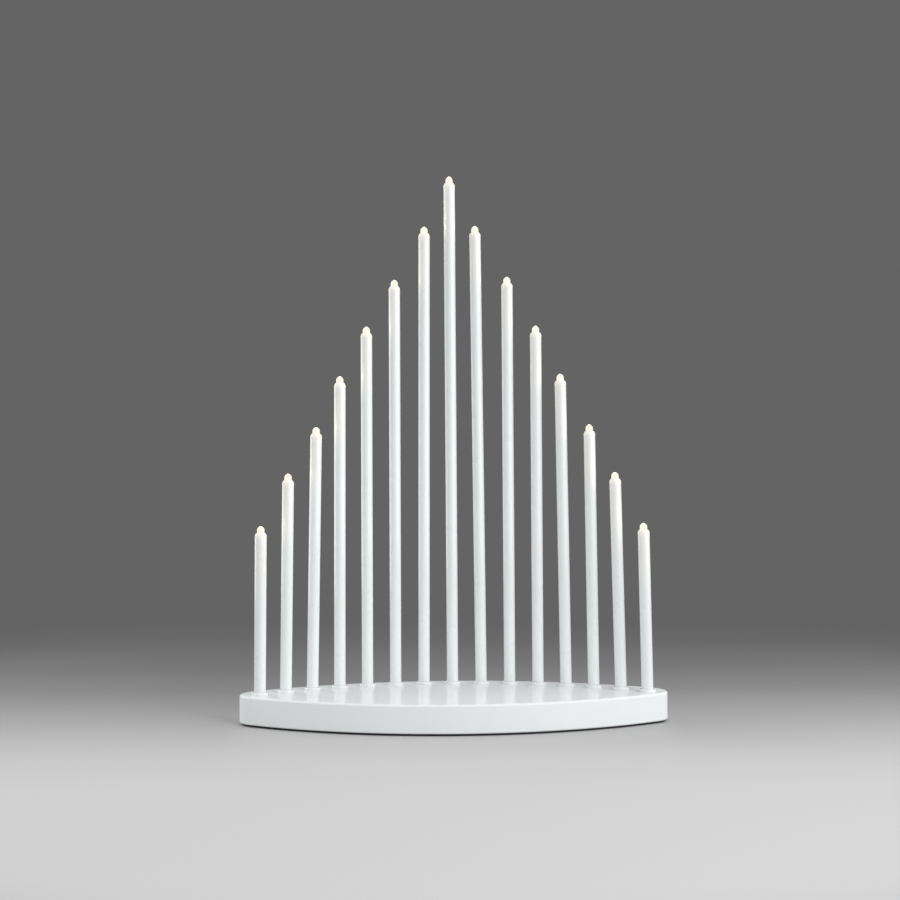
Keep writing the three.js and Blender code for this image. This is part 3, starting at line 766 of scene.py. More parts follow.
# Tip caps, measured down from the tip of the light
tipCap = {
    "top": -4.5, "seat": -7.65, "low": -13.4, "step": -7.3, "rounding": 1.9, "bulge": 1.6, "lip": 3.1,
    "bore": 2.7, "rimBore": 3.05, "spigot": 3.4, "spigotTaper": (0.3, 0.6), "edge": 0.12, "seatEdge": 0.04,
    "sides": 48, "roundSteps": 10,
}


def makeCaps():
    c = tipCap
    radius, lip, steps, edge = tube["radius"], c["lip"], c["roundSteps"], c["edge"]
    top, seat, low, seatEdge = c["top"], c["seat"], c["low"], c["seatEdge"]
    inward, upward = c["spigotTaper"]
    # the shoulder is nearly a cone, with soft ends
    shoulder = []
    for step in range(steps + 1):
        angle = math.pi / 2 * step / steps
        out, up = abs(math.cos(angle)) ** c["bulge"], math.sin(angle) ** c["bulge"]
        shoulder.append((lip + (radius - lip) * out, top - c["rounding"] * (1 - up)))
    profile = [
        (c["rimBore"], low), (c["spigot"] - inward, low), (c["spigot"], low + upward), (c["spigot"], seat),
        (radius - seatEdge, seat), (radius, seat + seatEdge), *shoulder, (c["bore"] + edge, top),
        (c["bore"], top - edge), (c["bore"], c["step"]), (c["rimBore"], c["step"]), (c["rimBore"], low),
    ]
    finishAtTips(turnedPiece(profile, c["sides"]), "tipCap", "tip_cap", milkyCap)


makeCaps()
print("tip caps made")

# Lights, measured down from the tip of the dome
light = {
    "radius": 2.5, "body": -7.6, "rimRadius": 2.85, "rimLow": -8.6, "rimEdge": 0.15, "flat": 2.55,
    "sides": 40, "domeSteps": 14, "legEnd": -14.6, "legApart": 1.27, "legHalf": 0.25, "legEdge": 0.06,
    "stop": -10.6, "stopHalf": 0.4, "stopHigh": 0.8,
}


def makeLights():
    c = light
    rim, low, body, edge, half = c["rimRadius"], c["rimLow"], c["body"], c["rimEdge"], c["legHalf"]
    dome = roundCorner((0, -c["radius"]), c["radius"], 0, 90, c["domeSteps"])
    profile = [
        (0, low), (rim - edge, low), (rim, low + edge), (rim, body - edge), (rim - edge, body),
        (c["radius"], body), *dome,
    ]
    model = turnedPiece(profile, c["sides"])
    cutAway(model, addBox((-4, -4, low - 0.5), (-c["flat"], 4, body + 0.01)))
    model.data.materials.append(domeGlow)
    wires = []
    for side in (-1, 1):
        x, stop = side * c["legApart"], c["stop"]
        wire = addBox(*around(x, 0, half, half, c["legEnd"], low + 0.4))
        widening = addBox(*around(x, 0, c["stopHalf"], half, stop, stop + c["stopHigh"]))
        wires.append(combine(wire, widening))
    wires = bevelEdges(joinPieces(wires), c["legEdge"], 1, sharpEdge)
    model = joinPieces([model, withMaterial(wires, contactSteel)])
    finishAtTips(model, "light", "led", None)


makeLights()
print("lights made")

# Measures of the battery bay and the board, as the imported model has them
bay = {
    "middle": -22.5, "halfLength": 28.35, "halfWidth": 22.0, "wall": 1.5, "roofLow": 17.1, "roof": 18.3,
    "cellAxis": 9.65, "cellPitch": 14.6, "slotHalf": 1.8, "tabLow": 13.75, "tabHigh": 14.15, "gap": 0.3,
}
# each cell's middle line, and the side that its positive end is on
cellPlaces = [(bay["middle"] + (index - 1) * bay["cellPitch"], (1, -1, 1)[index]) for index in range(3)]
board = {
    "left": 35.85, "right": 75.85, "front": -18.0, "back": 0.0, "low": 6.8, "high": 8.0, "holeInset": 3,
}
boardHoles = [
    (x, y)
    for x in (board["left"] + board["holeInset"], board["right"] - board["holeInset"])
    for y in (board["front"] + board["holeInset"], board["back"] - board["holeInset"])
]
switchPlace = Vector((54.85, -9.0, 0))
switchTravel = 4.0
hinge = Vector((-27.1, -22.5, 1.3))


def lieOnHinge(piece):
    # turns a piece that stands on the origin so that it lies along the hinge's axis
    return setDown(piece, hinge, (math.pi / 2, 0, 0))


def addWords(text, size, x, y, depth):
    # lettering as a solid through the underside, readable from below
    clearSelection()
    bpy.ops.object.text_add(location=(0, 0, 0))
    words = bpy.context.object
    settings = {
        "body": text, "size": size * mm, "extrude": depth * mm, "resolution_u": 3,
        "align_x": "CENTER", "align_y": "CENTER",
    }
    for key, value in settings.items():
        setattr(words.data, key, value)
    bpy.ops.object.convert(target="MESH")
    words = bpy.context.object
    setDown(words, (x, y, 0), (math.pi, 0, 0))
    startEdit(words)
    cleanMesh()
    endEdit()
    return words


# Bottom plate with the battery bay, the board's posts and the switch's finger pocket
plate = {
    "inset": 1.6, "chamfer": 0.3, "rimHigh": 1.2, "stepInset": 2.7, "stepLow": 0.6, "high": 2.0,
    "bayLow": 0.7, "bayEdge": 0.8, "postRadius": 1.8, "screwRadius": 1.3, "headRadius": 2.8, "headSink": 1.1,
    "slotHalf": (3.85, 1.35), "pocketHalf": (5.85, 3.35), "pocketDepth": 0.9, "scoop": (33.35, 7, 0.9),
    "trunnionRadius": 0.9, "trunnionReach": 1.2, "footRadius": 4.2, "footDepth": 0.6,
    "feet": ((112, 0), (62, 28)),
    # ribs that stiffen the plate's two ends, shorter and shorter towards the nose
    "ribs": 5, "ribFrom": 88, "ribPitch": 8, "ribMiddle": -9, "ribHalf": 14, "ribShrink": 2.5,
    "ribThin": 0.6, "ribHigh": 3.2,
    # letters, their size and place from the switch, then the polarity marks: place, half length and width
    "letterDepth": 0.3, "letters": (("ON", 2.6, -9, 0), ("6H", 2.6, 9, 0), ("OFF", 2.6, 0, 5.6)),
    "mark": (22, 6.5, 1.6, 0.28),
}
footPlaces = [(side * x, y) for side in (-1, 1) for x, y in plate["feet"]]


def plateBody():
    c, roof = plate, bay["roof"]
    piece = lensSlab(c["inset"], 0, c["rimHigh"])
    bevelEdges(piece, c["chamfer"], 2, atHeight(0))
    combine(piece, lensSlab(c["stepInset"], c["stepLow"], c["high"]))
    outX, outY = bay["halfLength"] + bay["wall"], bay["halfWidth"] + bay["wall"]
    box = around(0, bay["middle"], outX, outY, c["bayLow"], roof)
    combine(piece, roundBox(*box, c["bayEdge"], 3, uprightOrAt(roof)))
    raised = [addPosts(boardHoles, c["postRadius"], 1, board["low"])]
    for side in (-1, 1):
        for index in range(c["ribs"]):
            x, half = side * (c["ribFrom"] + c["ribPitch"] * index), c["ribHalf"] - c["ribShrink"] * index
            box = around(x, c["ribMiddle"], c["ribThin"], half, 1, c["ribHigh"])
            raised.append(roundBox(*box, 0.3, 1, atHeight(c["ribHigh"])))
    return combine(piece, joinPieces(raised))


def plateCuts():
    c, x, y, depth = plate, switchPlace.x, switchPlace.y, plate["pocketDepth"]
    half, wide, middle = bay["halfLength"], bay["halfWidth"], bay["middle"]
    hollow = roundBox(*around(0, middle, half, wide, -1, bay["roofLow"]), 0.3, 2, uprightEdge)
    scoopX, scoopY, scoopZ = c["scoop"]
    scoop = roundBox(
        (half - 1, middle - scoopY, -1), (scoopX, middle + scoopY, scoopZ), 2.5, 5,
        lambda e: uprightEdge(e) and middleOf(e).x > (scoopX - 0.1) * mm,
    )
    slot = roundBox(*around(x, y, *c["slotHalf"], -1, 3), 0.4, 3, uprightEdge)
    pocket = roundBox(*around(x, y, *c["pocketHalf"], -1, depth), 0.6, 3, uprightOrAt(depth))
    reach = wide + c["trunnionReach"]
    axle = lieOnHinge(addPost(0, 0, c["trunnionRadius"], -reach, reach, 24))
    low, high = bay["tabLow"] - bay["gap"], bay["tabHigh"] + bay["gap"]
    tabs = [
        addBox(*around(side * (half + 1), cellPlaces[index][0], 2, bay["slotHalf"], low, high))
        for side, index in ((-1, 0), (1, 2))
    ]
    holes = addPosts(legs, c["screwRadius"], -1, 3)
    heads = addPosts(legs, c["headRadius"], -1, c["headSink"], 40)
    feet = addPosts(footPlaces, c["footRadius"], -1, c["footDepth"], 36)
    return [hollow, scoop, slot, pocket, axle, *tabs, holes, joinPieces([heads, feet])]


def makePlate():
    piece = plateBody()
    for cutter in plateCuts():
        cutAway(piece, cutter)
    x, y, depth = switchPlace.x, switchPlace.y, plate["letterDepth"]
    words = [
        addWords(text, size, x + across, y + along, depth) for text, size, across, along in plate["letters"]
    ]
    cutAway(piece, joinPieces(words))
    # polarity marks beside the bay
    markX, markY, long, thin = plate["mark"]
    for side, across, along in ((-1, long, thin), (1, long, thin), (1, thin, long)):
        cutAway(piece, addBox(*around(side * markX, markY, across, along, -1, depth)))
    return finishPiece(piece, "bottomPlate", "base", blackPlastic, ["bottom_plate"])


makePlate()
print("bottom plate made")

# Soft feet, flush in their recesses
foot = {"radius": 4.0, "low": 0.02, "edge": 0.2, "dish": 0.15, "dishRadius": 2.8}


def makeFeet():
    c, high = foot, plate["footDepth"]
    radius, low, edge, dish, rim = c["radius"], c["low"], c["edge"], c["dish"], c["dishRadius"]
    corner = roundCorner((radius - edge, low + edge), edge, -90, 0, 4)
    profile = [(0, low + dish), (rim - 0.2, low + dish), (rim, low), *corner, (radius, high), (0, high)]
    standings = [((x, y, 0),) for x, y in footPlaces]
    finishCopies(turnedPiece(profile, 40), standings, "softFoot", softFoam)


makeFeet()
print("soft feet made")

# Battery cover with its trunnions, latch tongue, grip ridges and arrow
cover = {
    "right": 28.0, "half": 21.65, "low": 0.4, "high": 2.2, "edge": 0.2, "pinRadius": 0.6, "pinHalf": 22.9,
    "latchWidth": 12, "latchLength": 9, "slotHalf": 0.4, "lip": (2.5, 4.8, 1.2), "arrow": (-1.0, 3.2, 0.3),
    "ridges": 7, "ridgePitch": 1.5, "ridgeHalf": 0.35, "ridgeLow": 0.2, "ridgeFrom": 15.5,
    "ridgeWide": (7, 6.4),
}


def makeCover():
    c, middle = cover, bay["middle"]
    low, high, right, half = c["low"], c["high"], c["right"], c["half"]
    panel = roundBox(
        (hinge.x, middle - half, low), (right, middle + half, high), c["edge"], 2,
        lambda e: middleOf(e).x > (hinge.x + 0.1) * mm,
    )
    combine(panel, lieOnHinge(addPost(0, 0, (high - low) / 2, -half, half)))
    pin = addPost(0, 0, c["pinRadius"], -c["pinHalf"], c["pinHalf"], 24)
    bevelEdges(pin, 0.1, 2, lambda e: abs(abs(middleOf(e).z) - c["pinHalf"] * mm) < tolerance)
    combine(panel, lieOnHinge(pin))
    ridges = []
    for index in range(c["ridges"]):
        x, wide = c["ridgeFrom"] - c["ridgePitch"] * index, c["ridgeWide"][index % 2]
        box = around(x, middle, c["ridgeHalf"], wide, c["ridgeLow"], low + 0.4)
        ridges.append(roundBox(*box, 0.12, 2, atHeight(c["ridgeLow"])))
    combine(panel, joinPieces(ridges))
    slots = []
    for side in (-1, 1):
        y = middle + side * c["latchWidth"] / 2
        slot = (right - c["latchLength"], y - c["slotHalf"], -1), (right + 1, y + c["slotHalf"], 3)
        slots.append(roundBox(*slot, 0.38, 3, lambda e: uprightEdge(e) and middleOf(e).x < (right - 1) * mm))
    lipLength, lipHalf, lipLow = c["lip"]
    slots.append(addBox((right - lipLength, middle - lipHalf, -1), (right + 1, middle + lipHalf, lipLow)))
    cutAway(panel, joinPieces(slots))
    x, radius, depth = c["arrow"]
    arrow = addPost(0, 0, radius, -depth, depth, 3)
    cutAway(panel, setDown(arrow, (x, middle, low), (0, 0, math.pi / 2)))
    return finishPiece(panel, "batteryCover", "cover", blackPlastic, ["battery_cover"])


makeCover()
print("battery cover made")

# Cells, modelled upright from the flat end to the nub, then laid in the bay
cell = {
    "radius": 7.1, "length": 50.5, "nubRadius": 2.7, "body": 49.2, "bandFrom": 37.5, "bandTo": 40.0,
    "fold": 0.45, "sleeveFrom": 6.4, "gap": 1.0, "sides": 64,
    # crimped ends: radius, and height over the flat end or depth under the body's other end
    "flatEnd": (
        (0, 0.25), (4.3, 0.25), (4.6, 0.0), (5.9, 0.0), (6.2, 0.25), (6.45, 0.1), (6.75, 0.05), (6.98, 0.15),
    ),
    "nubEnd": ((6.98, 0.15), (6.75, 0.05), (6.45, 0.15), (6.2, 0.5), (3.7, 0.5), (3.4, 0.1), (3.0, 0)),
}


def makeCells():
    c = cell
    radius, body, nub, end, fold = c["radius"], c["body"], c["nubRadius"], c["length"], c["fold"]
    profile = [
        *c["flatEnd"], (radius, fold), (radius, c["bandFrom"]), (radius, c["bandTo"]), (radius, body - fold),
        *[(out, body - under) for out, under in c["nubEnd"]],
        (nub + 0.05, body + 0.1), (nub, body + 0.3), (nub, end - 0.2), (nub - 0.2, end), (0, end),
    ]
    model = withMaterial(turnedPiece(profile, c["sides"]), cellMetal)
    model.data.materials.append(cellSleeve)
    model.data.materials.append(cellBand)
    for face in model.data.polygons:
        place = face.center / mm
        if math.hypot(place.x, place.y) > c["sleeveFrom"]:
            face.material_index = 2 if c["bandFrom"] < place.z < body else 1
    outer = bay["halfLength"] - c["gap"] - end
    standings = [
        ((side * outer, y, bay["cellAxis"]), (0, side * math.pi / 2, 0)) for y, side in cellPlaces
    ]
    nodes = [f"battery_cell_{index + 1}" for index in range(len(cellPlaces))]
    finishCopies(model, standings, "cell", None, nodes)


makeCells()
print("cells made")

# Contacts, stamped from spring sheet, and their wound springs
contact = {
    "thickness": 0.4, "halfHigh": 4.5, "halfWide": 5, "corner": 0.9, "edge": 0.1, "wire": 0.3, "wide": 3.2,
    "narrow": 2.4, "rise": 4.2, "turns": 3.25, "stepsPerTurn": 28, "tabHalf": 1.5, "tabEnd": 32.05,
    "tabHole": 0.5, "bossRadius": 1.9, "bossTop": 1.3, "bossHigh": 0.22,
}
contactFace = bay["halfLength"] - bay["gap"]  # from the middle to the contacts' outer faces


def wireThrough(points, radius, sides=3, smoothBends=True):
    # a round wire through points in millimetres, made a mesh
    clearSelection()
    bpy.ops.curve.primitive_bezier_curve_add(location=(0, 0, 0))
    wire = bpy.context.object
    curve = wire.data
    curve.dimensions = "3D"
    curve.bevel_depth = radius * mm
    curve.bevel_resolution = sides
    curve.use_fill_caps = True
    curve.resolution_u = 8 if smoothBends else 1
    line = curve.splines[0].bezier_points
    line.add(len(points) - len(line))
    for point, place in zip(line, points):
        point.co = Vector(place) * mm
        point.handle_left_type = point.handle_right_type = "AUTO" if smoothBends else "VECTOR"
        point.radius = 1
    bpy.ops.object.convert(target="MESH")
    wire = bpy.context.object
    startEdit(wire)
    cleanMesh()
    endEdit()
    return wire


def springOn(side, y):
    c = contact
    count = round(c["turns"] * c["stepsPerTurn"])
    root = contactFace - c["thickness"] / 2
    rise = c["rise"] + c["thickness"] / 2 - c["wire"]
    points = []
    for step in range(count + 1):
        share = step / count
        angle = 2 * math.pi * c["turns"] * share
        radius = c["wide"] + (c["narrow"] - c["wide"]) * share
        x = side * (root - rise * share)
        points.append((x, y + radius * math.cos(angle), bay["cellAxis"] + radius * math.sin(angle)))
    return wireThrough(points, c["wire"], 2, False)


def contactPlate(side, fromY, toY):
    c = contact
    xs = sorted((side * contactFace, side * (contactFace - c["thickness"])))
    low = (xs[0], fromY - c["halfWide"], bay["cellAxis"] - c["halfHigh"])
    high = (xs[1], toY + c["halfWide"], bay["cellAxis"] + c["halfHigh"])
    piece = addBox(low, high)
    bevelEdges(piece, c["corner"], 3, lambda e: abs(e.verts[0].co.x - e.verts[1].co.x) > 0.1 * mm)
    return bevelEdges(piece, c["edge"], 1, sharpEdge)


def bossOn(side, y):
    # stamped boss that meets a cell's nub
    c = contact
    radius, top, high = c["bossRadius"], c["bossTop"], c["bossHigh"]
    dome = turnedPiece([(0, -0.2), (radius + 0.4, -0.2), (radius, 0.08), (top, high), (0, high)], 32)
    x = side * (contactFace - c["thickness"])
    return setDown(dome, (x, y, bay["cellAxis"]), (0, -side * math.pi / 2, 0))


def tabOn(side, y):
    c = contact
    inner, outer = contactFace - c["thickness"] / 2, c["tabEnd"]
    xs = sorted((side * inner, side * outer))
    low, high = (xs[0], y - c["tabHalf"], bay["tabLow"]), (xs[1], y + c["tabHalf"], bay["tabHigh"] - 0.02)
    piece = roundBox(low, high, 0.5, 2, lambda e: uprightEdge(e) and abs(middleOf(e).x) > (outer - 1) * mm)
    return cutAway(piece, addPost(side * (outer - 1.1), y, c["tabHole"], 13, 15, 20))


def makeContacts():
    first, second, third = (y for y, side in cellPlaces)
    builds = {
        "Negative": [contactPlate(-1, first, first), springOn(-1, first), tabOn(-1, first)],
        "Bridge1": [contactPlate(1, first, second), springOn(1, second), bossOn(1, first)],
        "Bridge2": [contactPlate(-1, second, third), springOn(-1, third), bossOn(-1, second)],
        "Positive": [contactPlate(1, third, third), bossOn(1, third), tabOn(1, third)],
    }
    for name, build in builds.items():
        piece, *others = build
        for other in others:
            combine(piece, other)
        node = "contact_" + name.lower().replace("bridge", "bridge_")
        finishPiece(piece, "contact" + name, "base", contactSteel, [node])


makeContacts()
print("contacts made")

# Circuit board with the parts soldered on it
parts = {
    "corner": 1.2, "holeRadius": 0.9, "trace": 0.04, "traceHalf": 0.2, "dotRadius": 0.7,
    "chip": {"x": 52.85, "half": (3.0, 1.9), "lift": 0.15, "high": 1.6, "pins": 4, "pitch": 1.27},
    "pin": {"half": 0.2, "reach": 2.5, "thick": 0.2, "shoulder": 0.75},
    "resistor": {"half": (1.15, 0.75), "high": 0.7, "endMiddle": 1.3, "endHalf": (0.3, 0.8), "endHigh": 0.78},
    "resistors": ((62.45, -9.0), (62.45, -12.5), (44.0, -12.5)),
    "can": {"x": 68.85, "radius": 2.5, "high": 6.0},
    "dots": ((50.35, -3.0), (54.85, -3.0), (59.35, -3.0), (39.5, -3.0), (39.5, -15.5)),
    # traces, from x and y to x and y
    "runs": (
        (37.5, -3.0, 54.85, -3.0), (37.5, -15.5, 62.45, -15.5), (54.75, -15.5, 54.75, -12.0),
        (50.95, -6.2, 50.95, -3.0), (56.0, -6.2, 63.0, -6.2), (64.4, -9.0, 66.6, -9.0),
        (45.4, -12.5, 50.6, -12.5), (62.45, -15.5, 73.0, -15.5), (73.0, -15.5, 73.0, -3.0),
        (58.0, -3.0, 73.0, -3.0),
    ),
}


def makeChip(middle):
    c, pin, high = parts["chip"], parts["pin"], board["high"]
    x, (halfX, halfY), top = c["x"], c["half"], high + c["high"]
    body = roundBox(*around(x, middle, halfX, halfY, high + c["lift"], top), 0.15)
    dot = addPost(x - halfX + 0.8, middle - halfY + 0.8, 0.35, top - 0.1, high + 3, 20)
    pieces = [withMaterial(cutAway(body, dot), blackPlastic)]
    half, shoulder, thick = pin["half"], pin["shoulder"], pin["thick"]
    lead = addBox((-half, halfY - 0.2, shoulder - thick), (half, halfY + 0.25, shoulder))
    combine(lead, addBox((-half, halfY + 0.1, 0.02), (half, halfY + 0.3, shoulder)))
    combine(lead, addBox((-half, halfY + 0.1, 0.02), (half, pin["reach"], thick)))
    standings = [
        ((x + (index - (c["pins"] - 1) / 2) * c["pitch"], middle, high), (0, 0, turn))
        for index in range(c["pins"]) for turn in (0, math.pi)
    ]
    return pieces + setCopies(withMaterial(lead, contactSteel), standings)


def makeResistor(x, y):
    c, high = parts["resistor"], board["high"]
    body = roundBox(*around(x, y, *c["half"], high + 0.05, high + c["high"]), 0.08, 1)
    pieces = [withMaterial(body, blackPlastic)]
    for side in (-1, 1):
        box = around(x + side * c["endMiddle"], y, *c["endHalf"], high, high + c["endHigh"])
        pieces.append(withMaterial(roundBox(*box, 0.12), contactSteel))
    return pieces


def makeCan(middle):
    c, high = parts["can"], board["high"]
    r, top = c["radius"], c["high"]
    profile = [
        (0, 0.02), (r - 0.3, 0.02), (r, 0.3), (r, 1.0), (r - 0.2, 1.3), (r, 1.6), (r, top - 0.4),
        (r - 0.12, top - 0.12), (r - 0.4, top), (r - 0.6, top), (r - 0.7, top - 0.15), (0, top - 0.15),
    ]
    can = withMaterial(turnedPiece(profile, 40), blackPlastic)
    can.data.materials.append(canSteel)
    for face in can.data.polygons:
        place = face.center / mm
        face.material_index = 1 if place.z > top - 0.3 and math.hypot(place.x, place.y) < r - 0.5 else 0
    return setDown(can, (c["x"], middle, high))


def solderDot(x, y):
    radius = parts["dotRadius"]
    profile = [(0, 0), (radius, 0), (radius * 0.75, 0.2), (radius * 0.45, 0.45), (0, 0.6)]
    return withMaterial(setDown(turnedPiece(profile, 20), (x, y, board["high"])), contactSteel)


def makeTraces():
    high, half = board["high"], parts["traceHalf"]
    traces = []
    for fromX, fromY, toX, toY in parts["runs"]:
        low = (min(fromX, toX) - half, min(fromY, toY) - half, high - 0.03)
        far = (max(fromX, toX) + half, max(fromY, toY) + half, high + parts["trace"])
        traces.append(withMaterial(addBox(low, far), traceGreen))
    return traces


def makeBoard():
    b, middle = board, (board["front"] + board["back"]) / 2
    low, high = (b["left"], b["front"], b["low"]), (b["right"], b["back"], b["high"])
    slab = roundBox(low, high, parts["corner"], 4, uprightEdge)
    holes = addPosts(boardHoles, parts["holeRadius"], b["low"] - 1, b["high"] + 1, 24)
    withMaterial(cutAway(slab, holes), boardGreen)
    pieces = [slab, *makeTraces(), *makeChip(middle), makeCan(middle)]
    for x, y in parts["resistors"]:
        pieces += makeResistor(x, y)
    pieces += [solderDot(x, y) for x, y in parts["dots"]]
    piece = joinPieces(pieces)
    return finishPiece(piece, "circuitBoard", "base", None, ["circuit_board"])


makeBoard()
print("circuit board made")

# Slide switch: folded steel can under the board, and its knob
switch = {
    "half": (5.65, 3.05), "low": 3.2, "high": 6.8, "corner": 0.5, "chamber": (4.65, 2.05, 3.9, 5.8),
    "slot": (3.85, 1.35), "foldPlaces": (-3.2, 3.2), "foldHalf": (0.8, 0.12), "foldSink": 0.06,
    "headHalf": (2.3, 1.7), "headLow": 4.25, "headHigh": 5.45, "leverHalf": (1.5, 1.0), "leverLow": 0.35,
    "grooves": 3, "grooveHalf": 0.2, "grooveDepth": 0.3,
}


def makeSwitch():
    c, x, y = switch, switchPlace.x, switchPlace.y
    low, high, wide = c["low"], c["high"], c["half"][1]
    chamber = c["chamber"]
    can = roundBox(*around(x, y, *c["half"], low, high), c["corner"], 3, uprightOrAt(low))
    cutAway(can, addBox(*around(x, y, *chamber)))
    slot = around(x, y, *c["slot"], low - 1, chamber[2] + 0.3)
    cutAway(can, roundBox(*slot, 0.3, 2, uprightEdge))
    # folds where the can's sides are lapped over its base
    folds = [
        addBox(*around(x + at, y + side * (wide - c["foldSink"]), *c["foldHalf"], high - 1.3, high - 0.1))
        for side in (-1, 1) for at in c["foldPlaces"]
    ]
    cutAway(can, joinPieces(folds))
    return finishPiece(can, "switchCan", "base", canSteel, ["switch_housing"])


def makeKnob():
    c, y = switch, switchPlace.y
    x, low = switchPlace.x - switchTravel / 2, c["leverLow"]
    head = roundBox(*around(x, y, *c["headHalf"], c["headLow"], c["headHigh"]), 0.2)
    lever = roundBox(*around(x, y, *c["leverHalf"], low, c["headLow"] + 0.6), 0.18, 3)
    combine(head, lever)
    cuts = []
    for index in range(c["grooves"]):
        at = x + 2 * c["leverHalf"][0] * (index - 1) / c["grooves"]
        cuts.append(addBox(*around(at, y, c["grooveHalf"], 2, low - 1, low + c["grooveDepth"])))
    cutAway(head, joinPieces(cuts))
    return finishPiece(head, "switchKnob", "knob", knobPlastic, ["switch_knob"])


makeSwitch()
makeKnob()
print("switch made")

# Wiring: a pair along the sockets, a pair up each tube, and the leads to the board
wiring = {
    "trunkHeight": 3.6, "pairApart": 0.62, "pairRadius": 0.58, "leadApart": 0.52, "leadRadius": 0.48,
    "supplyRadius": 0.8, "supplyHeight": 5, "sleeveRadius": 0.62, "branch": 10,
}


def wireAlong(points, radius, sides=2):
    return withMaterial(wireThrough(points, radius, sides), wireWhite)


def candleWires(candle):
    c, radius = wiring, wiring["sleeveRadius"]
    low, top = c["trunkHeight"] - deck, candle["tip"] + light["legEnd"]
    pieces = []
    for side in (-1, 1):
        near, far = side * c["leadApart"], side * light["legApart"]
        points = [
            (near, 0, low), (near, 0, low + 12), (near, 0, top - 12), (near, 0, top - 6), (far, 0, top - 1.5),
            (far, 0, top + 0.6),
        ]
        wire = wireAlong(points, c["leadRadius"], 1)
        sleeve = turnedPiece([
            (0, top - 3), (radius - 0.1, top - 3), (radius, top - 2.8), (radius, top + 1.8),
            (radius - 0.1, top + 2), (0, top + 2),
        ], 12)
        pieces += [wire, withMaterial(setDown(sleeve, (far, 0, 0)), blackPlastic)]
    return standOnCandle(joinPieces(pieces), candle)


def supplyRoutes():
    # the two supply wires, from the contacts to the board
    low, back, top = wiring["supplyHeight"], board["back"], board["high"]
    half, middle, end = bay["halfLength"] + bay["wall"], bay["middle"], contact["tabEnd"]
    first, last = cellPlaces[0][0], cellPlaces[2][0]
    tab = (bay["tabLow"] + bay["tabHigh"]) / 2
    beside, behind = half + 1.4, middle + bay["halfWidth"] + bay["wall"] + 1.1
    fromNegative = [
        (-end + 0.4, first, tab), (-end - 1.9, first, tab), (-end - 1.4, first + 4, tab - 4),
        (-beside, middle, low), (-beside, behind - 5, low), (-beside - 0.3, behind - 1, low),
        (-beside + 1, behind + 0.3, low), (-beside + 5, behind, low), (0, behind, low),
        (board["left"], behind + 2, low), (46.85, back + 6, top), (54.85, back + 6, top + 2.5),
        (57.0, back + 1, top + 3), (59.35, back - 3, top + 0.5),
    ]
    fromPositive = [
        (end - 0.4, last, tab), (end + 1.9, last, tab), (end + 3.4, last + 4, tab - 0.5),
        (board["left"] + 2, back + 1.5, top + 3), (39.5, back - 3, top + 0.5),
    ]
    return fromNegative, fromPositive


def leadRoute(toX, shift):
    # from the pair along the sockets to the board
    branch, high = candles[wiring["branch"]]["seat"], wiring["trunkHeight"]
    back, top = board["back"], board["high"]
    points = [
        (branch.x, branch.y, high), (55.85, branch.y - 10, high + 1), (54.85, back + 6, top + 2.5),
        (53.0, back - 0.5, top + 2.6),
    ]
    return [(x + shift, y, z) for x, y, z in points] + [(toX, back - 3, top + 0.5)]


def makeWiring():
    c = wiring
    pieces = [candleWires(candle) for candle in candles]
    for side in (-1, 1):
        height = c["trunkHeight"] + side * c["pairApart"]
        pieces.append(wireAlong([(x, y, height) for x, y in seats], c["pairRadius"]))
    pieces += [wireAlong(points, c["supplyRadius"]) for points in supplyRoutes()]
    for side, toX in ((-1, 50.35), (1, 54.85)):
        pieces.append(wireAlong(leadRoute(toX, side * c["leadApart"]), c["leadRadius"]))
    return finishPiece(joinPieces(pieces), "wiring", "base", None, ["wiring_harness"], 50)


makeWiring()
print("wiring made")

# Screws, pan heads with a cross recess, sunk in the plate
screw = {
    "headRadius": 2.55, "headLow": 0.12, "headHigh": 1.1, "shank": 1.02, "end": 9.5, "sides": 36,
    "cross": (1.5, 0.3, 0.75), "ridges": 9, "ridgeFrom": 1.2, "ridgePitch": 0.7, "ridgeHigh": 0.07,
    # how each screw is turned
    "turn": 0.4, "turnStep": 0.9,
}


def makeScrews():
    c, shank = screw, screw["shank"]
    r, low, high, end = c["headRadius"], c["headLow"], c["headHigh"], c["end"]
    profile = [
        (0, low), (r * 0.55, low + 0.03), (r * 0.85, low + 0.2), (r, low + 0.5), (r, high), (shank, high),
        (shank, end - 1.5), (0.25, end), (0, end),
    ]
    model = turnedPiece(profile, c["sides"])
    reach, half, depth = c["cross"]
    cross = addBox((-reach, -half, -1), (reach, half, depth))
    combine(cross, addBox((-half, -reach, -1), (half, reach, depth)))
    cutAway(model, cross)
    # thread ridges along the shank
    ridges, root = [], shank - 0.2
    for index in range(c["ridges"]):
        z = high + c["ridgeFrom"] + c["ridgePitch"] * index
        edge = [(root, z - 0.2), (shank + c["ridgeHigh"], z), (root, z + 0.2), (root, z - 0.2)]
        ridges.append(turnedPiece(edge, 24))
    combine(model, joinPieces(ridges))
    standings = [((x, y, 0), (0, 0, c["turn"] + c["turnStep"] * index)) for index, (x, y) in enumerate(legs)]
    finishCopies(model, standings, "screw", screwSteel)


makeScrews()
print("screws made")

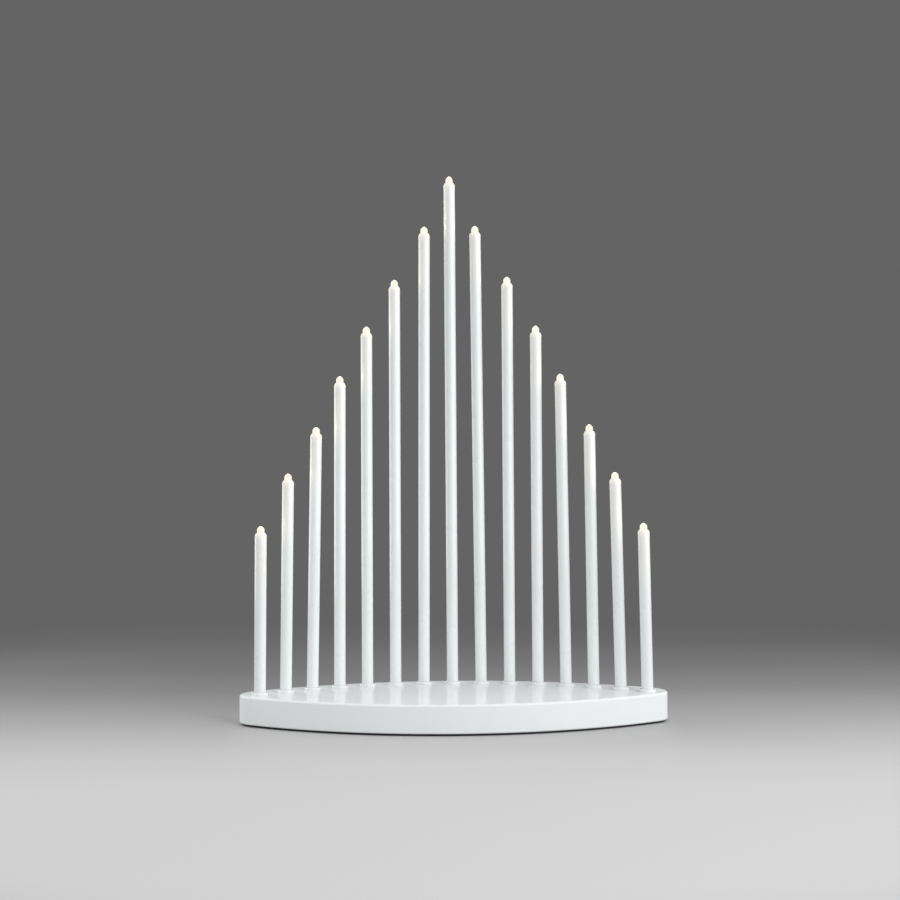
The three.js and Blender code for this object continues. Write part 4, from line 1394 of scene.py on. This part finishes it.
# Floor, pale in front and falling off into the grey of the backdrop
floorTone = {
    # distance behind the middle line in metres, and how pale the floor is there
    "stops": [
        (-0.45, 0.59), (-0.2, 0.58), (-0.13, 0.545), (-0.06, 0.468), (0.0, 0.395), (0.07, 0.32),
        (0.14, 0.245), (0.27, 0.182), (0.42, 0.146), (0.6, 0.132),
    ],
    "reach": 150, "below": 0.2, "openInset": 3, "fadeFrom": 0.42, "fadeTo": 0.75, "middle": (0, 0.02, 0),
    # painted bounce light, paler close to the base: by how much, over how many millimetres, and between which
    # ends along it
    "bounceGain": 0.13, "bounceReach": 120, "bounceEnds": (0.16, 0.125),
    "bounceStops": [(0, 1), (0.167, 0.85), (0.267, 0.54), (0.375, 0.35), (0.667, 0.23), (1, 0)],
}
backdropTone = 0.127
backdropGrey = (backdropTone, backdropTone, backdropTone, 1)


def greyRamp(tree, source, stops):
    return addRamp(tree, source, [(place, (tone, tone, tone)) for place, tone in stops])


def distanceFrom(tree, place, centre):
    return addNode(tree, "ShaderNodeVectorMath", place, centre, operation="DISTANCE").outputs["Value"]


def paintedBounce(tree, place, along):
    # painted bounce light: how much paler the floor is, from the distance to the outline's two wide arcs
    radius, reach = (sideY + halfDepth) * mm, floorTone["bounceReach"] * mm
    arcs = [distanceFrom(tree, place, (0, side * sideY * mm, 0)) for side in (-1, 1)]
    outside = spread(tree, addMath(tree, "MAXIMUM", *arcs), radius, radius + reach)
    share = greyRamp(tree, outside, floorTone["bounceStops"])
    ends = spread(tree, addMath(tree, "ABSOLUTE", along), *floorTone["bounceEnds"], kind="SMOOTHSTEP")
    return addMath(tree, "MULTIPLY_ADD", addMath(tree, "MULTIPLY", share, ends), floorTone["bounceGain"], 1.0)


def paintFloor():
    material, tree, shader = newMaterial("floorPaper", **{"Roughness": 0.9, "Specular IOR Level": 0.0})
    place = objectPlace(tree)
    split = addNode(tree, "ShaderNodeSeparateXYZ", place).outputs
    low, high = floorTone["stops"][0][0], floorTone["stops"][-1][0]
    stops = [((y - low) / (high - low), tone) for y, tone in floorTone["stops"]]
    tone = greyRamp(tree, spread(tree, split["Y"], low, high), stops)
    # the floor's tone, made paler near the base by painted bounce light
    feed(tree, shader.inputs["Base Color"], scaleColour(tree, tone, paintedBounce(tree, place, split["X"])))
    # far from the object the floor turns into the backdrop, so that no horizon shows from any side
    away = distanceFrom(tree, place, floorTone["middle"])
    fade = spread(tree, away, floorTone["fadeFrom"], floorTone["fadeTo"], kind="SMOOTHSTEP")
    grey = addNode(tree, "ShaderNodeEmission", Color=backdropGrey, Strength=1.0).outputs["Emission"]
    seen = mixShaders(tree, fade, shader.outputs["BSDF"], grey)
    # clear from below, for looks at the underside
    behind = addNode(tree, "ShaderNodeNewGeometry").outputs["Backfacing"]
    clear = addNode(tree, "ShaderNodeBsdfTransparent").outputs["BSDF"]
    feed(tree, tree.nodes["Material Output"].inputs["Surface"], mixShaders(tree, behind, seen, clear))
    return material


def makeFloor():
    # open under the plate, so that light reaches the underside when it is looked at from below
    floor = lensFace(floorTone["openInset"], -floorTone["below"])
    bpy.ops.mesh.extrude_region_move(TRANSFORM_OT_translate={"value": (0, 0, 0)})
    reach = floorTone["reach"]
    bpy.ops.transform.resize(value=(reach, reach, 1), center_override=(0, 0, 0))
    pick(floor, "FACE", lambda f: len(f.verts) > 4)
    bpy.ops.mesh.delete(type="ONLY_FACE")
    bpy.ops.mesh.select_all(action="SELECT")
    bpy.ops.mesh.normals_make_consistent(inside=False)
    endEdit()
    if floor.data.polygons[0].normal.z < 0:
        startEdit(floor)
        bpy.ops.mesh.select_all(action="SELECT")
        bpy.ops.mesh.flip_normals()
        endEdit()
    floor.name = "floor"
    withMaterial(floor, paintFloor())


makeFloor()
print("floor made")

# Camera, at the photograph's height and distance
view = {"place": (-0.0272, -1.0483, 0.1836), "lens": 62.1, "turn": 1.383, "roll": 0.304}


def makeCamera():
    camera = bpy.data.objects.new("camera", bpy.data.cameras.new("camera"))
    bpy.context.scene.collection.objects.link(camera)
    camera.location = view["place"]
    camera.rotation_euler = [math.radians(a) for a in (90, view["roll"], -view["turn"])]
    camera.data.lens = view["lens"]
    camera.data.sensor_width = 36
    camera.data.clip_start = 0.01
    bpy.context.scene.camera = camera


makeCamera()
print("camera set")

# Lamps and backdrop
studio = {
    "ambient": 0.69,
    "lamps": {
        # place, size across and up, watts, aimed at
        "right": ((1.2, -0.76, 0.58), (2.6, 1.2), 14.5, (0, 0, 0.22)),
        "left": ((-0.93, 0.36, 0.38), (1.0, 1.2), 6.1, (0, 0, 0.2)),
        "key": ((0.5, -0.7, 1.05), (0.3, 0.3), 2.9, (0, 0, 0.1)),
    },
    # the candles' own lights, and how far over each tip they burn
    "tipWatts": 0.0018, "tipOver": 1.2, "tipColour": (1.0, 0.83, 0.55), "tipRadius": 1.5,
}


def addLamp(name, kind, place, **settings):
    lamp = bpy.data.lights.new(name, kind)
    for key, value in settings.items():
        setattr(lamp, key, value)
    holder = bpy.data.objects.new(name, lamp)
    bpy.context.scene.collection.objects.link(holder)
    holder.location = place
    holder.visible_camera = False
    return holder


def makeBackdrop():
    # grey where it is seen straight, mirrored or through clear things, and a plain light elsewhere
    world = bpy.data.worlds.new("studio")
    bpy.context.scene.world = world
    world.use_nodes = True
    tree = world.node_tree
    tree.nodes.clear()
    ray = addNode(tree, "ShaderNodeLightPath").outputs
    seen = addMath(tree, "MAXIMUM", ray["Is Camera Ray"], ray["Is Glossy Ray"])
    seen = addMath(tree, "MAXIMUM", seen, ray["Is Transmission Ray"])
    ambient = addNode(tree, "ShaderNodeBackground", Color=(1, 1, 1, 1), Strength=studio["ambient"])
    backdrop = addNode(tree, "ShaderNodeBackground", Color=backdropGrey, Strength=1.0)
    both = mixShaders(tree, seen, ambient.outputs["Background"], backdrop.outputs["Background"])
    addNode(tree, "ShaderNodeOutputWorld", both)


def makeLamps():
    for name, (place, (across, up), power, aim) in studio["lamps"].items():
        holder = addLamp(name, "AREA", place, shape="RECTANGLE", size=across, size_y=up, energy=power)
        holder.rotation_euler = (Vector(aim) - Vector(place)).to_track_quat("-Z", "Y").to_euler()
    for candle in candles:
        place, turn = standing(candle, candle["tip"] + studio["tipOver"])
        addLamp(
            "tipLight", "POINT", place * mm, energy=studio["tipWatts"], color=studio["tipColour"],
            shadow_soft_size=studio["tipRadius"] * mm,
        )


makeBackdrop()
makeLamps()
print("lamps set")
bpy.context.scene.view_settings.view_transform = "Standard"
